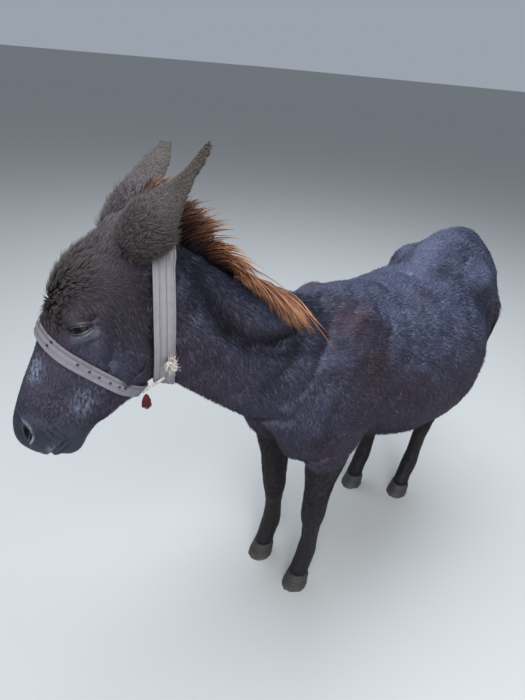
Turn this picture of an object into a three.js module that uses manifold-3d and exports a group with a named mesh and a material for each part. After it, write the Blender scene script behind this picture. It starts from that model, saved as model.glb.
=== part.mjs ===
// A small donkey standing still, life size, with its webbing halter.
// Millimetres, +Z up. The donkey faces -X, its left side is towards -Y, and it stands on Z = 0.
// The body is one smooth field of limbs and eggs, meshed, thinned and parted with narrow cuts.
import * as THREE from "three";
import Module from "manifold-3d";

const wasm = await Module();
wasm.setup();

// ---------------------------------------------------------------- driving dimensions
const WITHERS = 1030; // height at the withers
const GAP = 0.4; // between neighbouring pieces
const CUT = 0.5; // width of the cuts that part the body
const WALL = 0.9; // how much a piece is grown before it is cut out of its neighbour

// Where the head sits: its poll, and how far it is turned, lowered and tilted.
const HEAD = { poll: [-472, 128, 1212], turn: 22, lower: 56, tilt: -10, length: 504 };

// Bends of a smooth union, from tight on the face to wide on the trunk.
const BLEND = { face: 14, head: 26, limb: 34, trunk: 62 };

// Meshing step and triangle budget of the two big meshes.
const BODY_NET = { step: 21, triangles: 2700 };
const HEAD_NET = { step: 8.5, triangles: 1480 };

// ---------------------------------------------------------------- fields
const { hypot, min, max, abs, cos, sin, PI, sqrt, round } = Math;
const rad = THREE.MathUtils.degToRad;
const mix = THREE.MathUtils.lerp;
const ease = (t) => t * t * (3 - 2 * t);

// Smooth union of two distances, with a bend of about k.
function melt(a, b, k) {
  if (abs(a - b) >= k) return min(a, b);
  const h = max(k - abs(a - b), 0) / k;
  return min(a, b) - h * h * k * 0.25;
}

// One field of several, melted into each other.
function union(k, ...fields) {
  return (p) => {
    let d = fields[0](p);
    for (let i = 1; i < fields.length; i++) d = melt(d, fields[i](p), k);
    return d;
  };
}

// Beyond this a part's distance is only a lower bound: it is past every bend.
const FAR = 70;
const thick = (ring) => max(ring.wide, ring.deep);

// An ellipsoid at a point, with half sizes along its own turned axes.
function egg(at, half, turn = [0, 0, 0]) {
  const q = new THREE.Quaternion()
    .setFromEuler(new THREE.Euler(...turn.map(rad)))
    .invert();
  const centre = new THREE.Vector3(...at);
  const v = new THREE.Vector3();
  const reach = max(...half);
  return (p) => {
    const far = p.distanceTo(centre) - reach;
    if (far > FAR) return far;
    v.copy(p).sub(centre).applyQuaternion(q);
    const near = hypot(v.x / half[0], v.y / half[1], v.z / half[2]);
    const steep = hypot(v.x / half[0] ** 2, v.y / half[1] ** 2, v.z / half[2] ** 2);
    return steep > 0 ? (near * (near - 1)) / steep : -min(...half);
  };
}

// A tube through stations [x, y, z, half width, half depth]. The width runs along `across`.
function limb(stations, across = new THREE.Vector3(0, 1, 0), finer = 4) {
  const path = new THREE.CatmullRomCurve3(
    stations.map((s) => new THREE.Vector3(s[0], s[1], s[2])),
    false,
    "centripetal",
  );
  const spans = (stations.length - 1) * finer;
  const rings = Array.from({ length: spans + 1 }, (_, i) => {
    const at = min(Math.floor(i / finer), stations.length - 2);
    const t = ease(i / finer - at);
    const [a, b] = [stations[at], stations[at + 1]];
    return { at: path.getPoint(i / spans), wide: mix(a[3], b[3], t), deep: mix(a[4], b[4], t) };
  });
  const axis = rings.slice(1).map((r, i) => r.at.clone().sub(rings[i].at));
  const reach = axis.map((d, i) => d.length() + max(...rings.slice(i, i + 2).map(thick)));
  const v = new THREE.Vector3();
  return (p) => {
    let best = Infinity;
    for (let i = 0; i < axis.length; i++) {
      const a = rings[i];
      const b = rings[i + 1];
      const far = p.distanceTo(a.at) - reach[i];
      if (far > FAR) {
        best = min(best, far);
        continue;
      }
      v.copy(p).sub(a.at);
      const t = min(max(v.dot(axis[i]) / axis[i].lengthSq(), 0), 1);
      v.addScaledVector(axis[i], -t);
      const wide = mix(a.wide, b.wide, t);
      const deep = mix(a.deep, b.deep, t);
      const y = v.dot(across);
      const z = sqrt(max(v.lengthSq() - y * y, 0));
      const near = hypot(y / wide, z / deep);
      const steep = hypot(y / wide ** 2, z / deep ** 2);
      const d = steep > 0 ? (near * (near - 1)) / steep : -min(wide, deep);
      best = melt(best, d, 6);
    }
    return best;
  };
}

// The same field on both sides of the median plane.
const both = (k, make) => union(k, make(-1), make(1));

// ---------------------------------------------------------------- meshing
// The closed surface of a field inside a box, thinned to a number of triangles.
function mould(field, low, high, step, triangles) {
  const p = new THREE.Vector3();
  const box = { min: low, max: high };
  const raw = wasm.Manifold.levelSet((q) => -field(p.set(...q)), box, step, 0, 0.2);
  return solid(thin(plain(raw), triangles));
}

// The field's gradient at a point.
function slope(field, p, out) {
  const h = 0.5;
  const q = new THREE.Vector3();
  const side = (x, y, z) => field(q.copy(p).add({ x, y, z })) - field(q.copy(p).sub({ x, y, z }));
  return out.set(side(h, 0, 0), side(0, h, 0), side(0, 0, h)).divideScalar(2 * h);
}

// Thins a closed mesh to a number of triangles by quadric edge collapse.
function thin(mesh, target) {
  const { points } = mesh;
  const faces = mesh.faces.map((f) => [...f]);
  const ring = points.map(() => new Set());
  faces.forEach((f, i) => f.forEach((v) => ring[v].add(i)));
  const quadric = points.map(() => new Float64Array(10));
  const [e1, e2, normal] = [new THREE.Vector3(), new THREE.Vector3(), new THREE.Vector3()];
  const faceNormal = (a, b, c) => normal.crossVectors(e1.subVectors(b, a), e2.subVectors(c, a));
  for (const f of faces) {
    faceNormal(...f.map((v) => points[v]));
    const area = normal.length();
    if (!area) continue;
    normal.divideScalar(area);
    const d = -normal.dot(points[f[0]]);
    const { x, y, z } = normal;
    const q = [x * x, x * y, x * z, x * d, y * y, y * z, y * d, z * z, z * d, d * d];
    for (const v of f) q.forEach((value, i) => (quadric[v][i] += value * area));
  }
  const error = (q, p) =>
    p.x * (q[0] * p.x + 2 * (q[1] * p.y + q[2] * p.z + q[3])) +
    p.y * (q[4] * p.y + 2 * (q[5] * p.z + q[6])) +
    p.z * (q[7] * p.z + 2 * q[8]) +
    q[9];
  const stamp = new Uint32Array(points.length);
  const heap = [];
  const swap = (i, j) => ([heap[i], heap[j]] = [heap[j], heap[i]]);
  function push(item) {
    let i = heap.push(item) - 1;
    while (i && heap[(i - 1) >> 1].cost > heap[i].cost) {
      swap(i, (i - 1) >> 1);
      i = (i - 1) >> 1;
    }
  }
  function pop() {
    swap(0, heap.length - 1);
    const item = heap.pop();
    for (let i = 0; ; ) {
      let least = i;
      for (const c of [2 * i + 1, 2 * i + 2])
        if (c < heap.length && heap[c].cost < heap[least].cost) least = c;
      if (least === i) return item;
      swap(i, least);
      i = least;
    }
  }
  function offer(a, b) {
    const q = quadric[a].map((value, i) => value + quadric[b][i]);
    const middle = points[a].clone().lerp(points[b], 0.5);
    let best = { cost: Infinity };
    for (const p of [middle, points[a], points[b]]) {
      const cost = error(q, p);
      if (cost < best.cost) best = { cost, p };
    }
    // A little weight on length keeps the triangles even where the surface is flat.
    const cost = best.cost + 2e-3 * points[a].distanceToSquared(points[b]);
    push({ cost, a, b, p: best.p.clone(), q, stamp: stamp[a] + stamp[b] });
  }
  const neighbours = (v) => {
    const found = new Set();
    for (const f of ring[v]) for (const w of faces[f]) if (w !== v) found.add(w);
    return found;
  };
  for (const f of faces)
    for (let i = 0; i < 3; i++) if (f[i] < f[(i + 1) % 3]) offer(f[i], f[(i + 1) % 3]);
  const before = new THREE.Vector3();
  // A collapse that would turn a face over, or squeeze one flat, isn't made.
  function turnsOver(v, gone, p) {
    for (const f of ring[v]) {
      if (faces[f].includes(gone)) continue;
      before.copy(faceNormal(...faces[f].map((w) => points[w])));
      faceNormal(...faces[f].map((w) => (w === v ? p : points[w])));
      if (normal.dot(before) < 0.25 * normal.length() * before.length()) return true;
    }
    return false;
  }
  let left = faces.length;
  while (left > target && heap.length) {
    const { a, b, p, q, stamp: mark } = pop();
    if (!ring[a].size || !ring[b].size || mark !== stamp[a] + stamp[b]) continue;
    const nb = neighbours(b);
    if (!nb.has(a)) continue;
    if ([...neighbours(a)].filter((v) => nb.has(v)).length !== 2) continue;
    if (turnsOver(a, b, p) || turnsOver(b, a, p)) continue;
    points[a].copy(p);
    quadric[a] = q;
    for (const f of [...ring[b]]) {
      if (faces[f].includes(a)) {
        faces[f].forEach((v) => ring[v].delete(f));
        left--;
      } else {
        faces[f] = faces[f].map((v) => (v === b ? a : v));
        ring[a].add(f);
      }
    }
    ring[b].clear();
    stamp[a]++;
    for (const v of neighbours(a)) offer(min(a, v), max(a, v));
  }
  const kept = [...new Set(ring.flatMap((faceSet) => [...faceSet]))].map((f) => faces[f]);
  const used = new Map();
  for (const f of kept) for (const v of f) if (!used.has(v)) used.set(v, used.size);
  return {
    points: [...used.keys()].map((v) => points[v]),
    faces: kept.map((f) => f.map((v) => used.get(v))),
  };
}

// ---------------------------------------------------------------- solids
function solid({ points, faces }) {
  return new wasm.Manifold(
    new wasm.Mesh({
      numProp: 3,
      vertProperties: new Float32Array(points.flatMap((p) => [p.x, p.y, p.z])),
      triVerts: new Uint32Array(faces.flat()),
    }),
  );
}

// The mesh of a solid, as points and faces.
function plain(manifold) {
  const m = manifold.getMesh();
  const points = [];
  for (let i = 0; i < m.numVert; i++)
    points.push(new THREE.Vector3().fromArray(m.vertProperties, i * m.numProp));
  const faces = [];
  for (let i = 0; i < m.triVerts.length; i += 3) faces.push([...m.triVerts.slice(i, i + 3)]);
  return { points, faces };
}

// A copy of a mesh, grown along its normals.
function grown({ points, faces }, by) {
  const normals = points.map(() => new THREE.Vector3());
  for (const [a, b, c] of faces) {
    const n = new THREE.Vector3()
      .subVectors(points[b], points[a])
      .cross(new THREE.Vector3().subVectors(points[c], points[a]));
    for (const v of [a, b, c]) normals[v].add(n);
  }
  return { points: points.map((p, i) => p.clone().addScaledVector(normals[i].normalize(), by)), faces };
}

// A closed mesh through rings of equal length, with a ladder of faces across each end.
function loft(rings) {
  const n = rings[0].length;
  const faces = [];
  for (let r = 0; r < rings.length - 1; r++)
    for (let i = 0; i < n; i++) {
      const [a, b] = [r * n + i, r * n + ((i + 1) % n)];
      faces.push([a, b, b + n], [a, b + n, a + n]);
    }
  const last = (rings.length - 1) * n;
  for (let i = 0; i < n / 2 - 1; i++) {
    const [a, b, c, d] = [i, i + 1, n - 2 - i, n - 1 - i];
    faces.push([d, c, b], [d, b, a], [last + a, last + b, last + c], [last + a, last + c, last + d]);
  }
  return outward({ points: rings.flat(), faces });
}

// The same mesh with its faces pointing out.
function outward({ points, faces }) {
  const volume = faces.reduce((sum, [a, b, c]) => {
    const n = new THREE.Vector3().crossVectors(points[b], points[c]);
    return sum + points[a].dot(n);
  }, 0);
  return { points, faces: volume < 0 ? faces.map(([a, b, c]) => [c, b, a]) : faces };
}

// A closed band: four-cornered sections that follow each other round a loop.
function hoop(sections) {
  const n = sections.length;
  const faces = [];
  for (let s = 0; s < n; s++)
    for (let i = 0; i < 4; i++) {
      const [a, b] = [s * 4 + i, s * 4 + ((i + 1) % 4)];
      const [c, d] = [((s + 1) % n) * 4 + i, ((s + 1) % n) * 4 + ((i + 1) % 4)];
      faces.push([a, b, d], [a, d, c]);
    }
  return outward({ points: sections.flat(), faces });
}

// A plate of a given size, centred at a point and turned, for cutting.
function plate(size, at, turn = [0, 0, 0]) {
  const box = new THREE.BoxGeometry(...size);
  box.deleteAttribute("normal").deleteAttribute("uv");
  const place = new THREE.Matrix4().compose(
    new THREE.Vector3(...at),
    new THREE.Quaternion().setFromEuler(new THREE.Euler(...turn.map(rad))),
    new THREE.Vector3(1, 1, 1),
  );
  box.applyMatrix4(place);
  return solid(merged(box));
}

// Points and faces of a three.js geometry, with shared vertices merged.
function merged(geometry) {
  const at = geometry.getAttribute("position");
  const index = geometry.index ? [...geometry.index.array] : [...Array(at.count).keys()];
  const found = new Map();
  const points = [];
  const to = [];
  for (let i = 0; i < at.count; i++) {
    const p = new THREE.Vector3().fromBufferAttribute(at, i);
    const key = p.toArray().map((x) => round(x * 1e3)).join();
    if (!found.has(key)) found.set(key, points.push(p) - 1);
    to.push(found.get(key));
  }
  const faces = [];
  for (let i = 0; i < index.length; i += 3) {
    const f = [to[index[i]], to[index[i + 1]], to[index[i + 2]]];
    if (new Set(f).size === 3) faces.push(f);
  }
  return { points, faces };
}

// ---------------------------------------------------------------- the head's own frame
// u runs down the face from the poll, v out of the forehead, w to the donkey's right.
const headTurn = new THREE.Matrix4()
  .makeRotationZ(rad(-HEAD.turn))
  .multiply(new THREE.Matrix4().makeRotationY(rad(-HEAD.lower)))
  .multiply(new THREE.Matrix4().makeRotationX(rad(HEAD.tilt)));
const headFrame = new THREE.Matrix4()
  .makeTranslation(...HEAD.poll)
  .multiply(headTurn)
  .multiply(
    new THREE.Matrix4().makeBasis(
      new THREE.Vector3(-1, 0, 0),
      new THREE.Vector3(0, 0, 1),
      new THREE.Vector3(0, 1, 0),
    ),
  );
const fromHead = headFrame.clone().invert();
const L = HEAD.length / 450; // face sizes below are drawn for a head of 450 mm

const facePoint = (u, v, w) => new THREE.Vector3(u, v, w).multiplyScalar(L).applyMatrix4(headFrame);

// A field drawn in the head's own frame, read in the donkey's.
function onHead(field) {
  const q = new THREE.Vector3();
  return (p) => field(q.copy(p).applyMatrix4(fromHead).divideScalar(L)) * L;
}

// ---------------------------------------------------------------- the head
const W = new THREE.Vector3(0, 0, 1); // across the face
const EYE = { at: [155, -27, 64], radius: 22, long: 58, open: 20, slant: 44 };
// A place on the face, on one side of it.
const sided = ([u, v, w], side) => [u, v, w * side];

const skull = limb(
  [
    [18, -40, 0, 56, 68],
    [90, -34, 0, 72, 76],
    [150, -34, 0, 76, 72],
    [205, -42, 0, 62, 62],
    [245, -50, 0, 54, 62],
    [310, -62, 0, 48, 64],
    [362, -73, 0, 46, 61],
    [384, -78, 0, 44, 54],
  ],
  W,
);
const jaw = limb(
  [
    [100, -102, 0, 44, 52],
    [165, -124, 0, 42, 60],
    [222, -134, 0, 36, 55],
    [285, -130, 0, 30, 40],
    [342, -121, 0, 28, 29],
    [378, -123, 0, 26, 25],
  ],
  W,
);
const face = union(
  BLEND.head,
  skull,
  jaw,
  egg([112, -22, 0], [90, 69, 62]), // forehead, with its long hair
  both(BLEND.head, (side) => egg([130, -94, side * 44], [108, 50, 28], [0, 0, -30])), // cheek
);
const features = union(
  BLEND.face,
  both(1, (side) => egg([138, -6, side * 54], [42, 30, 30])), // brow
  both(1, (side) => egg(sided(EYE.at, side), [30, 26, 25])), // lids
  both(1, (side) => limb([[165, -68, side * 64, 10, 12], [215, -82, side * 45, 9, 11],
    [270, -94, side * 33, 8, 9]], W)), // facial crest
  egg([384, -77, 0], [39, 54, 46]), // muzzle
  both(8, (side) => egg([388, -56, side * 28], [32, 28, 23], [0, side * 12, 0])), // nostril wings
  egg([405, -92, 0], [22, 27, 37], [0, 0, 20]), // upper lip
  egg([396, -131, 0], [25, 24, 27]), // chin
);
const headField = onHead(union(BLEND.head * 0.6, face, features));

// ---------------------------------------------------------------- neck, trunk, legs and tail
const neck = limb([
  [60, 0, 790, 108, 195],
  [-90, 8, 850, 92, 176],
  [-215, 42, 925, 76, 156],
  [-330, 80, 1005, 67, 142],
  [-420, 112, 1085, 59, 130],
]);
const barrel = limb([
  [15, 0, 770, 112, 160],
  [110, 0, 775, 150, 212],
  [230, 0, 752, 205, 226],
  [370, 0, 712, 260, 262],
  [500, 0, 706, 268, 272],
  [620, 0, 750, 217, 248],
  [720, 0, 835, 168, 205],
  [780, 0, 865, 132, 142],
]);
const trunk = union(
  BLEND.trunk,
  barrel,
  egg([95, 0, WITHERS - 65], [150, 30, 62], [0, 4, 0]), // withers
  egg([728, 0, 981], [150, 62, 98], [0, 4, 0]), // croup ridge
  egg([615, 0, 964], [130, 74, 98]), // loin
  both(20, (side) => egg([655, side * 132, 945], [58, 44, 44])), // point of the hip
  both(20, (side) => egg([35, side * 98, 830], [86, 44, 172], [0, 20, 0])), // shoulder blade
  both(20, (side) => egg([-52, side * 96, 700], [82, 62, 92])), // point of the shoulder
  both(20, (side) => egg([-58, side * 58, 654], [84, 66, 96])), // breast
  both(20, (side) => egg([46, side * 112, 655], [86, 52, 90])), // elbow
  both(20, (side) => egg([757, side * 66, 800], [120, 57, 178], [0, 12, 0])), // haunch
  both(20, (side) => egg([690, side * 118, 640], [82, 60, 118], [0, -20, 0])), // stifle
);

// A leg: the lateral place of its foot, then stations from the body down to the coronet.
const foreleg = (side) =>
  limb([
    [16, side * 108, 640, 52, 82],
    [12, side * 102, 540, 49, 74],
    [14, side * 92, 430, 39, 54],
    [16, side * 86, 345, 37, 43],
    [18, side * 84, 300, 38, 41],
    [22, side * 83, 255, 28, 32],
    [24, side * 82, 180, 25, 30],
    [22, side * 82, 132, 30, 36],
    [8, side * 82, 90, 27, 31],
    [-6, side * 82, 50, 31, 36],
  ]);
// `forward` is how far the hind foot is set ahead of its square place.
const hindleg = (side, forward) =>
  limb([
    [735, side * 112, 660, 66, 110],
    [760 - forward * 0.25, side * 106, 560, 50, 78],
    [830 - forward * 0.6, side * 92, 455, 34, 48],
    [868 - forward * 0.85, side * 84, 400, 32, 46],
    [858 - forward * 0.95, side * 80, 345, 30, 40],
    [842 - forward, side * 78, 260, 26, 33],
    [832 - forward, side * 78, 185, 25, 31],
    [824 - forward, side * 78, 140, 30, 36],
    [804 - forward, side * 78, 95, 27, 31],
    [788 - forward, side * 78, 55, 32, 37],
  ]);
const STEP = { left: 160, right: 265 };
const tail = limb([
  [895, 0, 968, 34, 34],
  [955, -4, 950, 28, 28],
  [996, -16, 888, 25, 25],
  [1022, -54, 810, 26, 26],
  [1028, -84, 740, 30, 30],
  [1025, -88, 665, 32, 32],
  [1014, -76, 580, 32, 32],
  [1002, -62, 500, 30, 30],
  [998, -46, 440, 20, 20],
  [996, -44, 400, 9, 9],
]);

const trunkField = union(BLEND.trunk, trunk, neck);
const fore = union(10, foreleg(-1), foreleg(1));
const hind = union(10, hindleg(-1, STEP.left), hindleg(1, STEP.right));
const bodyField = union(12, union(BLEND.limb, trunkField, fore, hind), tail);
const wholeField = union(BLEND.limb, bodyField, headField);

// ---------------------------------------------------------------- head and body, parted at the jaw
const faceWay = (u, v, w) => new THREE.Vector3(u, v, w).transformDirection(headFrame);
const NAPE = { at: facePoint(75, -98, 0), way: faceWay(0.714, 0.7, 0) };
const napeSide = (p) => NAPE.way.dot(p) - NAPE.way.dot(NAPE.at); // above 0 on the head
const MARGIN = 22;

// The box around a block of the head's own space.
function headBox(low, high) {
  const box = new THREE.Box3();
  for (let c = 0; c < 8; c++)
    box.expandByPoint(facePoint(...low.map((l, i) => ((c >> i) & 1 ? high[i] : l))));
  return [box.min.toArray(), box.max.toArray()];
}

const beyond = (way, at, gap = 0) => [way.toArray(), way.dot(at) + gap];
const headSkin = mould(
  (p) => max(wholeField(p), -napeSide(p) - MARGIN),
  ...headBox([-90, -240, -112], [470, 70, 112]),
  HEAD_NET.step,
  HEAD_NET.triangles,
).trimByPlane(...beyond(NAPE.way, NAPE.at, GAP / 2));
const bodySkin = mould(
  (p) => max(wholeField(p), napeSide(p) - MARGIN),
  [-620, -330, -10],
  [1080, 330, 1300],
  BODY_NET.step,
  BODY_NET.triangles,
).trimByPlane(...beyond(NAPE.way.clone().negate(), NAPE.at, GAP / 2));

// A shape made in the face's frame, moved to its place. Sizes are in millimetres.
function atFace(manifold, at, turn = [0, 0, 0]) {
  const spin = new THREE.Matrix4().makeRotationFromEuler(new THREE.Euler(...turn.map(rad)));
  const place = headFrame.clone().setPosition(facePoint(...at)).multiply(spin);
  return manifold.transform(place.elements);
}

const ball = (radius, detail = 2) => solid(merged(new THREE.IcosahedronGeometry(radius, detail)));
const stretched = (detail, ...sizes) => ball(1, detail).scale(sizes);

// The almond between the lids: where two round plates overlap, seen along w.
function almond(long, high, deep) {
  const radius = (long * long + high * high) / (4 * high);
  const disc = wasm.Manifold.cylinder(deep, radius, radius, 40, true);
  const off = radius - high / 2;
  return disc.translate([0, off, 0]).intersect(disc.translate([0, -off, 0]));
}

let head = headSkin;
for (const side of [-1, 1]) {
  const eye = sided(EYE.at, side);
  head = head
    .subtract(atFace(ball(EYE.radius + GAP), eye))
    .subtract(atFace(almond(EYE.long - 4, EYE.open, 60), sided([155, -27, 92], side), [0, 0, EYE.slant]))
    .subtract(atFace(stretched(2, 8, 16, 15), sided([388, -54, 49], side), [0, side * 14, 30]));
}
const mouth = atFace(wasm.Manifold.cube([80, 2.4, 130], true), [413, -111, 0], [0, 0, 9]);
head = head.subtract(mouth.subtract(solid(grown(plain(headSkin), -9))));

// ---------------------------------------------------------------- body pieces
// A hoof: ovals from the sole up, cut off level with the coronet, which slants down to the heel.
const HOOF = { toe: 50, heel: 40, half: 40, height: 50, front: 56, slant: 11 };
const CORONET = new THREE.Vector3(sin(rad(HOOF.slant)), 0, cos(rad(HOOF.slant)));
function hoof(x, y) {
  const oval = (t) =>
    Array.from({ length: 18 }, (_, i) => {
      const a = (i / 18) * 2 * PI;
      const forward = cos(a) > 0;
      const length = forward ? HOOF.toe - 8 * t : HOOF.heel - 4 * t;
      const level = HOOF.height * 1.5 * t;
      const back = (level / Math.tan(rad(HOOF.front))) * (forward ? 0.62 : 0.28);
      const out = sin(a) * HOOF.half * (1 - 0.2 * t);
      return new THREE.Vector3(x - cos(a) * length + back, y + out, level);
    });
  const top = CORONET.dot(new THREE.Vector3(x + 8, y, HOOF.height));
  const block = solid(loft([oval(0), oval(0.5), oval(1)]));
  return block.trimByPlane(CORONET.clone().negate().toArray(), GAP / 2 - top);
}
const FEET = {
  fore_left: [-14, -82],
  fore_right: [-14, 82],
  hind_left: [782 - STEP.left, -78],
  hind_right: [782 - STEP.right, 78],
};
const hooves = Object.fromEntries(Object.entries(FEET).map(([k, at]) => [k, hoof(...at)]));

let body = bodySkin
  .subtract(plate([CUT, 700, 700], [-58, 0, 810], [0, -20, 0]))
  .subtract(plate([230, 400, CUT], [10, 0, 544]))
  .subtract(plate([300, 200, CUT], [750, -100, 466]))
  .subtract(plate([260, 200, CUT], [665, 100, 428]))
  .subtract(plate([120, 110, CUT], [964, -6, 920], [0, -30, 0]))
  .subtract(plate([110, 130, CUT], [1024, -64, 700]));
for (const [x, y] of Object.values(FEET)) {
  const depth = 110;
  const middle = new THREE.Vector3(x + 8, y, HOOF.height).addScaledVector(
    CORONET,
    GAP / 2 - depth / 2,
  );
  body = body.subtract(plate([200, 110, depth], middle.toArray(), [0, HOOF.slant, 0]));
}

// Pieces of the body by a point near the middle of each.
const SEEDS = {
  neck: [-260, 60, 950],
  trunk: [420, 0, 760],
  fore_left: [20, -85, 300],
  fore_right: [20, 85, 300],
  hind_left: [690, -85, 290],
  hind_right: [600, 85, 290],
  tail: [1010, -44, 820],
  tail_switch: [1010, -68, 550],
};
const pieces = {};
for (const piece of body.decompose()) {
  if (piece.volume() < 2e4) continue;
  const { min: low, max: high } = piece.boundingBox();
  const middle = new THREE.Vector3(...low).add(new THREE.Vector3(...high)).multiplyScalar(0.5);
  const far = (name) => middle.distanceTo(new THREE.Vector3(...SEEDS[name]));
  const name = Object.keys(SEEDS).sort((a, b) => far(a) - far(b))[0];
  if (!pieces[name] || pieces[name].volume() < piece.volume()) pieces[name] = piece;
}

// ---------------------------------------------------------------- ears
// A shell rolled about its axis: an arc of wall that closes to a tube at the base.
// Rows: place along the ear, half width, opening half angle, depth of the roll.
const EAR = {
  wall: 9,
  left: [
    [-0.08, 38, 10, 1.0],
    [0.06, 46, 20, 1.0],
    [0.18, 50, 44, 1.0],
    [0.32, 48, 66, 0.95],
    [0.46, 39, 80, 0.8],
    [0.6, 29, 90, 0.66],
    [0.74, 22, 98, 0.6],
    [0.87, 18, 104, 0.58],
    [0.96, 15, 106, 0.6],
    [1.0, 11, 108, 0.6],
  ],
  right: [
    [-0.08, 44, 10, 1.0],
    [0.06, 48, 20, 1.0],
    [0.18, 48, 44, 1.0],
    [0.32, 46, 68, 0.95],
    [0.46, 42, 84, 0.8],
    [0.6, 36, 94, 0.7],
    [0.74, 30, 102, 0.62],
    [0.87, 24, 108, 0.58],
    [0.96, 18, 110, 0.56],
    [1.0, 11, 112, 0.56],
  ],
};
function ear(rows, base, tip, facing, bow) {
  const axis = tip.clone().sub(base);
  const length = axis.length();
  axis.normalize();
  const open = facing.clone().addScaledVector(axis, -facing.dot(axis)).normalize();
  const across = new THREE.Vector3().crossVectors(axis, open);
  const rings = rows.map(([t, wide, gape, depth]) => {
    const centre = base
      .clone()
      .addScaledVector(axis, t * length)
      .addScaledVector(open, -bow * sin(PI * min(max(t, 0), 1)));
    const wall = min(EAR.wall, wide * 0.45);
    const spot = (angle, r) =>
      centre
        .clone()
        .addScaledVector(open, cos(angle) * r * depth)
        .addScaledVector(across, sin(angle) * r);
    const sweep = Array.from({ length: 8 }, (_, i) => rad(mix(gape, 360 - gape, i / 7)));
    return [
      ...sweep.map((a) => spot(a, wide)),
      ...sweep.reverse().map((a) => spot(a, wide - wall)),
    ];
  });
  return solid(loft(rings));
}
const earFrom = { left: facePoint(-12, -30, -47), right: facePoint(4, -14, 47) };
const earTo = { left: facePoint(-194, -36, -114), right: facePoint(-162, -10, 157) };
const facings = {
  left: new THREE.Vector3(0.88, -0.35, 0),
  right: new THREE.Vector3(0.75, 0.5, -0.3),
};
const bows = { left: -8, right: 6 };
// A neighbour and the room around it, to be cut out of what sits on it.
const wall = (m) => solid(grown(plain(m), WALL)).add(m);
const headWall = wall(headSkin);
const neckWall = wall(pieces.neck);
const largest = (m) => m.decompose().sort((a, b) => b.volume() - a.volume())[0];
const clear = (m, walls) => largest(walls.reduce((left, w) => left.subtract(w), m));
const ears = {};
for (const side of ["left", "right"])
  ears[side] = clear(ear(EAR[side], earFrom[side], earTo[side], facings[side], bows[side]), [
    headWall,
    neckWall,
  ]);

// ---------------------------------------------------------------- mane
// Height of the crest above a place, found by walking down onto the neck.
function crest(x, y) {
  const p = new THREE.Vector3(x, y, 1400);
  for (let i = 0; i < 60; i++) p.z -= max(bodyField(p), 0) * 0.9;
  return p;
}
const MANE = { from: -440, to: 0, rows: 14, half: 15, sunk: 14 };
const neckLine = new THREE.CatmullRomCurve3(
  [[60, 0], [-90, 8], [-215, 42], [-330, 80], [-455, 122]].map(([x, y]) => new THREE.Vector3(x, y, 0)),
);
const maneRings = Array.from({ length: MANE.rows }, (_, i) => {
  const t = i / (MANE.rows - 1);
  const x = mix(MANE.from, MANE.to, t);
  let y = 0;
  for (let k = 0; k <= 60; k++) {
    const q = neckLine.getPoint(k / 60);
    if (q.x >= x) y = q.y;
  }
  const root = crest(x, y);
  const up = slope(bodyField, root, new THREE.Vector3()).normalize();
  const side = new THREE.Vector3(0, 1, 0);
  const tall = mix(38, 24, t ** 2) + 14 * sin(PI * t) + (i % 2 ? 4 : -3);
  const lean = -mix(6, 34, t);
  const at = (high, wide, leaning) =>
    root.clone().addScaledVector(up, high).addScaledVector(side, wide + leaning);
  return [
    at(-MANE.sunk, -MANE.half, 0),
    at(tall * 0.5, -MANE.half, lean * 0.4),
    at(tall, -5, lean),
    at(tall, 5, lean),
    at(tall * 0.5, MANE.half, lean * 0.4),
    at(-MANE.sunk, MANE.half, 0),
  ];
});
const flesh = [headWall, neckWall, ...Object.values(ears).map(wall)];
const mane = clear(solid(loft(maneRings)), [...flesh, wall(pieces.trunk)]);

// ---------------------------------------------------------------- halter
// Distance along a ray from inside some closed meshes to the last face it leaves by.
function reach(meshes, from, way) {
  const ray = new THREE.Ray(from, way);
  const hit = new THREE.Vector3();
  let far = 0;
  for (const { points, faces } of meshes)
    for (const [a, b, c] of faces)
      if (ray.intersectTriangle(points[a], points[b], points[c], false, hit))
        far = max(far, hit.distanceTo(from));
  return far;
}

// A taut band of webbing around some meshes, in the plane of two ways through a centre.
function band(meshes, centre, down, out, { wide, thick, lift, sag = 0, turns = 36 }) {
  const flat = new THREE.Vector3().crossVectors(down, out).normalize();
  const ways = Array.from({ length: turns }, (_, i) => {
    const a = (i / turns) * 2 * PI;
    return new THREE.Vector3().addScaledVector(down, cos(a)).addScaledVector(out, sin(a));
  });
  const line = (way, k) => centre.clone().addScaledVector(flat, k * wide + sag * abs(way.dot(out)));
  const edges = (way) => [line(way, -0.5), line(way, 0.5)];
  const radii = [-1, 1].map((side) =>
    ways.map((way) => max(...[0.5, 0.25, 0].map((k) => reach(meshes, line(way, side * k), way)))),
  );
  // A taut band spans hollows: no radius may fall inside the chord of its neighbours.
  const chord = 2 * cos((2 * PI) / turns);
  for (const edge of radii)
    for (let round = 0; round < 400; round++)
      for (let i = 0; i < turns; i++) {
        const [a, b] = [edge[(i + turns - 1) % turns], edge[(i + 1) % turns]];
        edge[i] = max(edge[i], (chord * a * b) / (a + b));
      }
  const sections = ways.map((way, i) => {
    const [a, b] = edges(way);
    const spot = (from, e, up) => from.clone().addScaledVector(way, radii[e][i] + lift + up);
    return [spot(a, 0, 0), spot(a, 0, thick), spot(b, 1, thick), spot(b, 1, 0)];
  });
  return { solid: solid(hoop(sections)), radii, ways };
}

const noseCentre = facePoint(223, -85, 0);
const noseband = band([plain(head)], noseCentre, faceWay(0.1, -1, 0), faceWay(0, 0, 1), {
  wide: 25,
  thick: 3,
  lift: 3,
  sag: -10,
});
const collarCentre = facePoint(62, -126, 0);
const collared = [plain(head), plain(pieces.neck)];
const collar = band(collared, collarCentre, faceWay(0.84, -0.542, 0), faceWay(0, 0, 1), {
  wide: 46,
  thick: 4,
  lift: 3.5,
});
const nosebandPiece = clear(noseband.solid, flesh);
const collarPiece = clear(collar.solid, [...flesh, wall(mane), wall(nosebandPiece)]);

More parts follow.
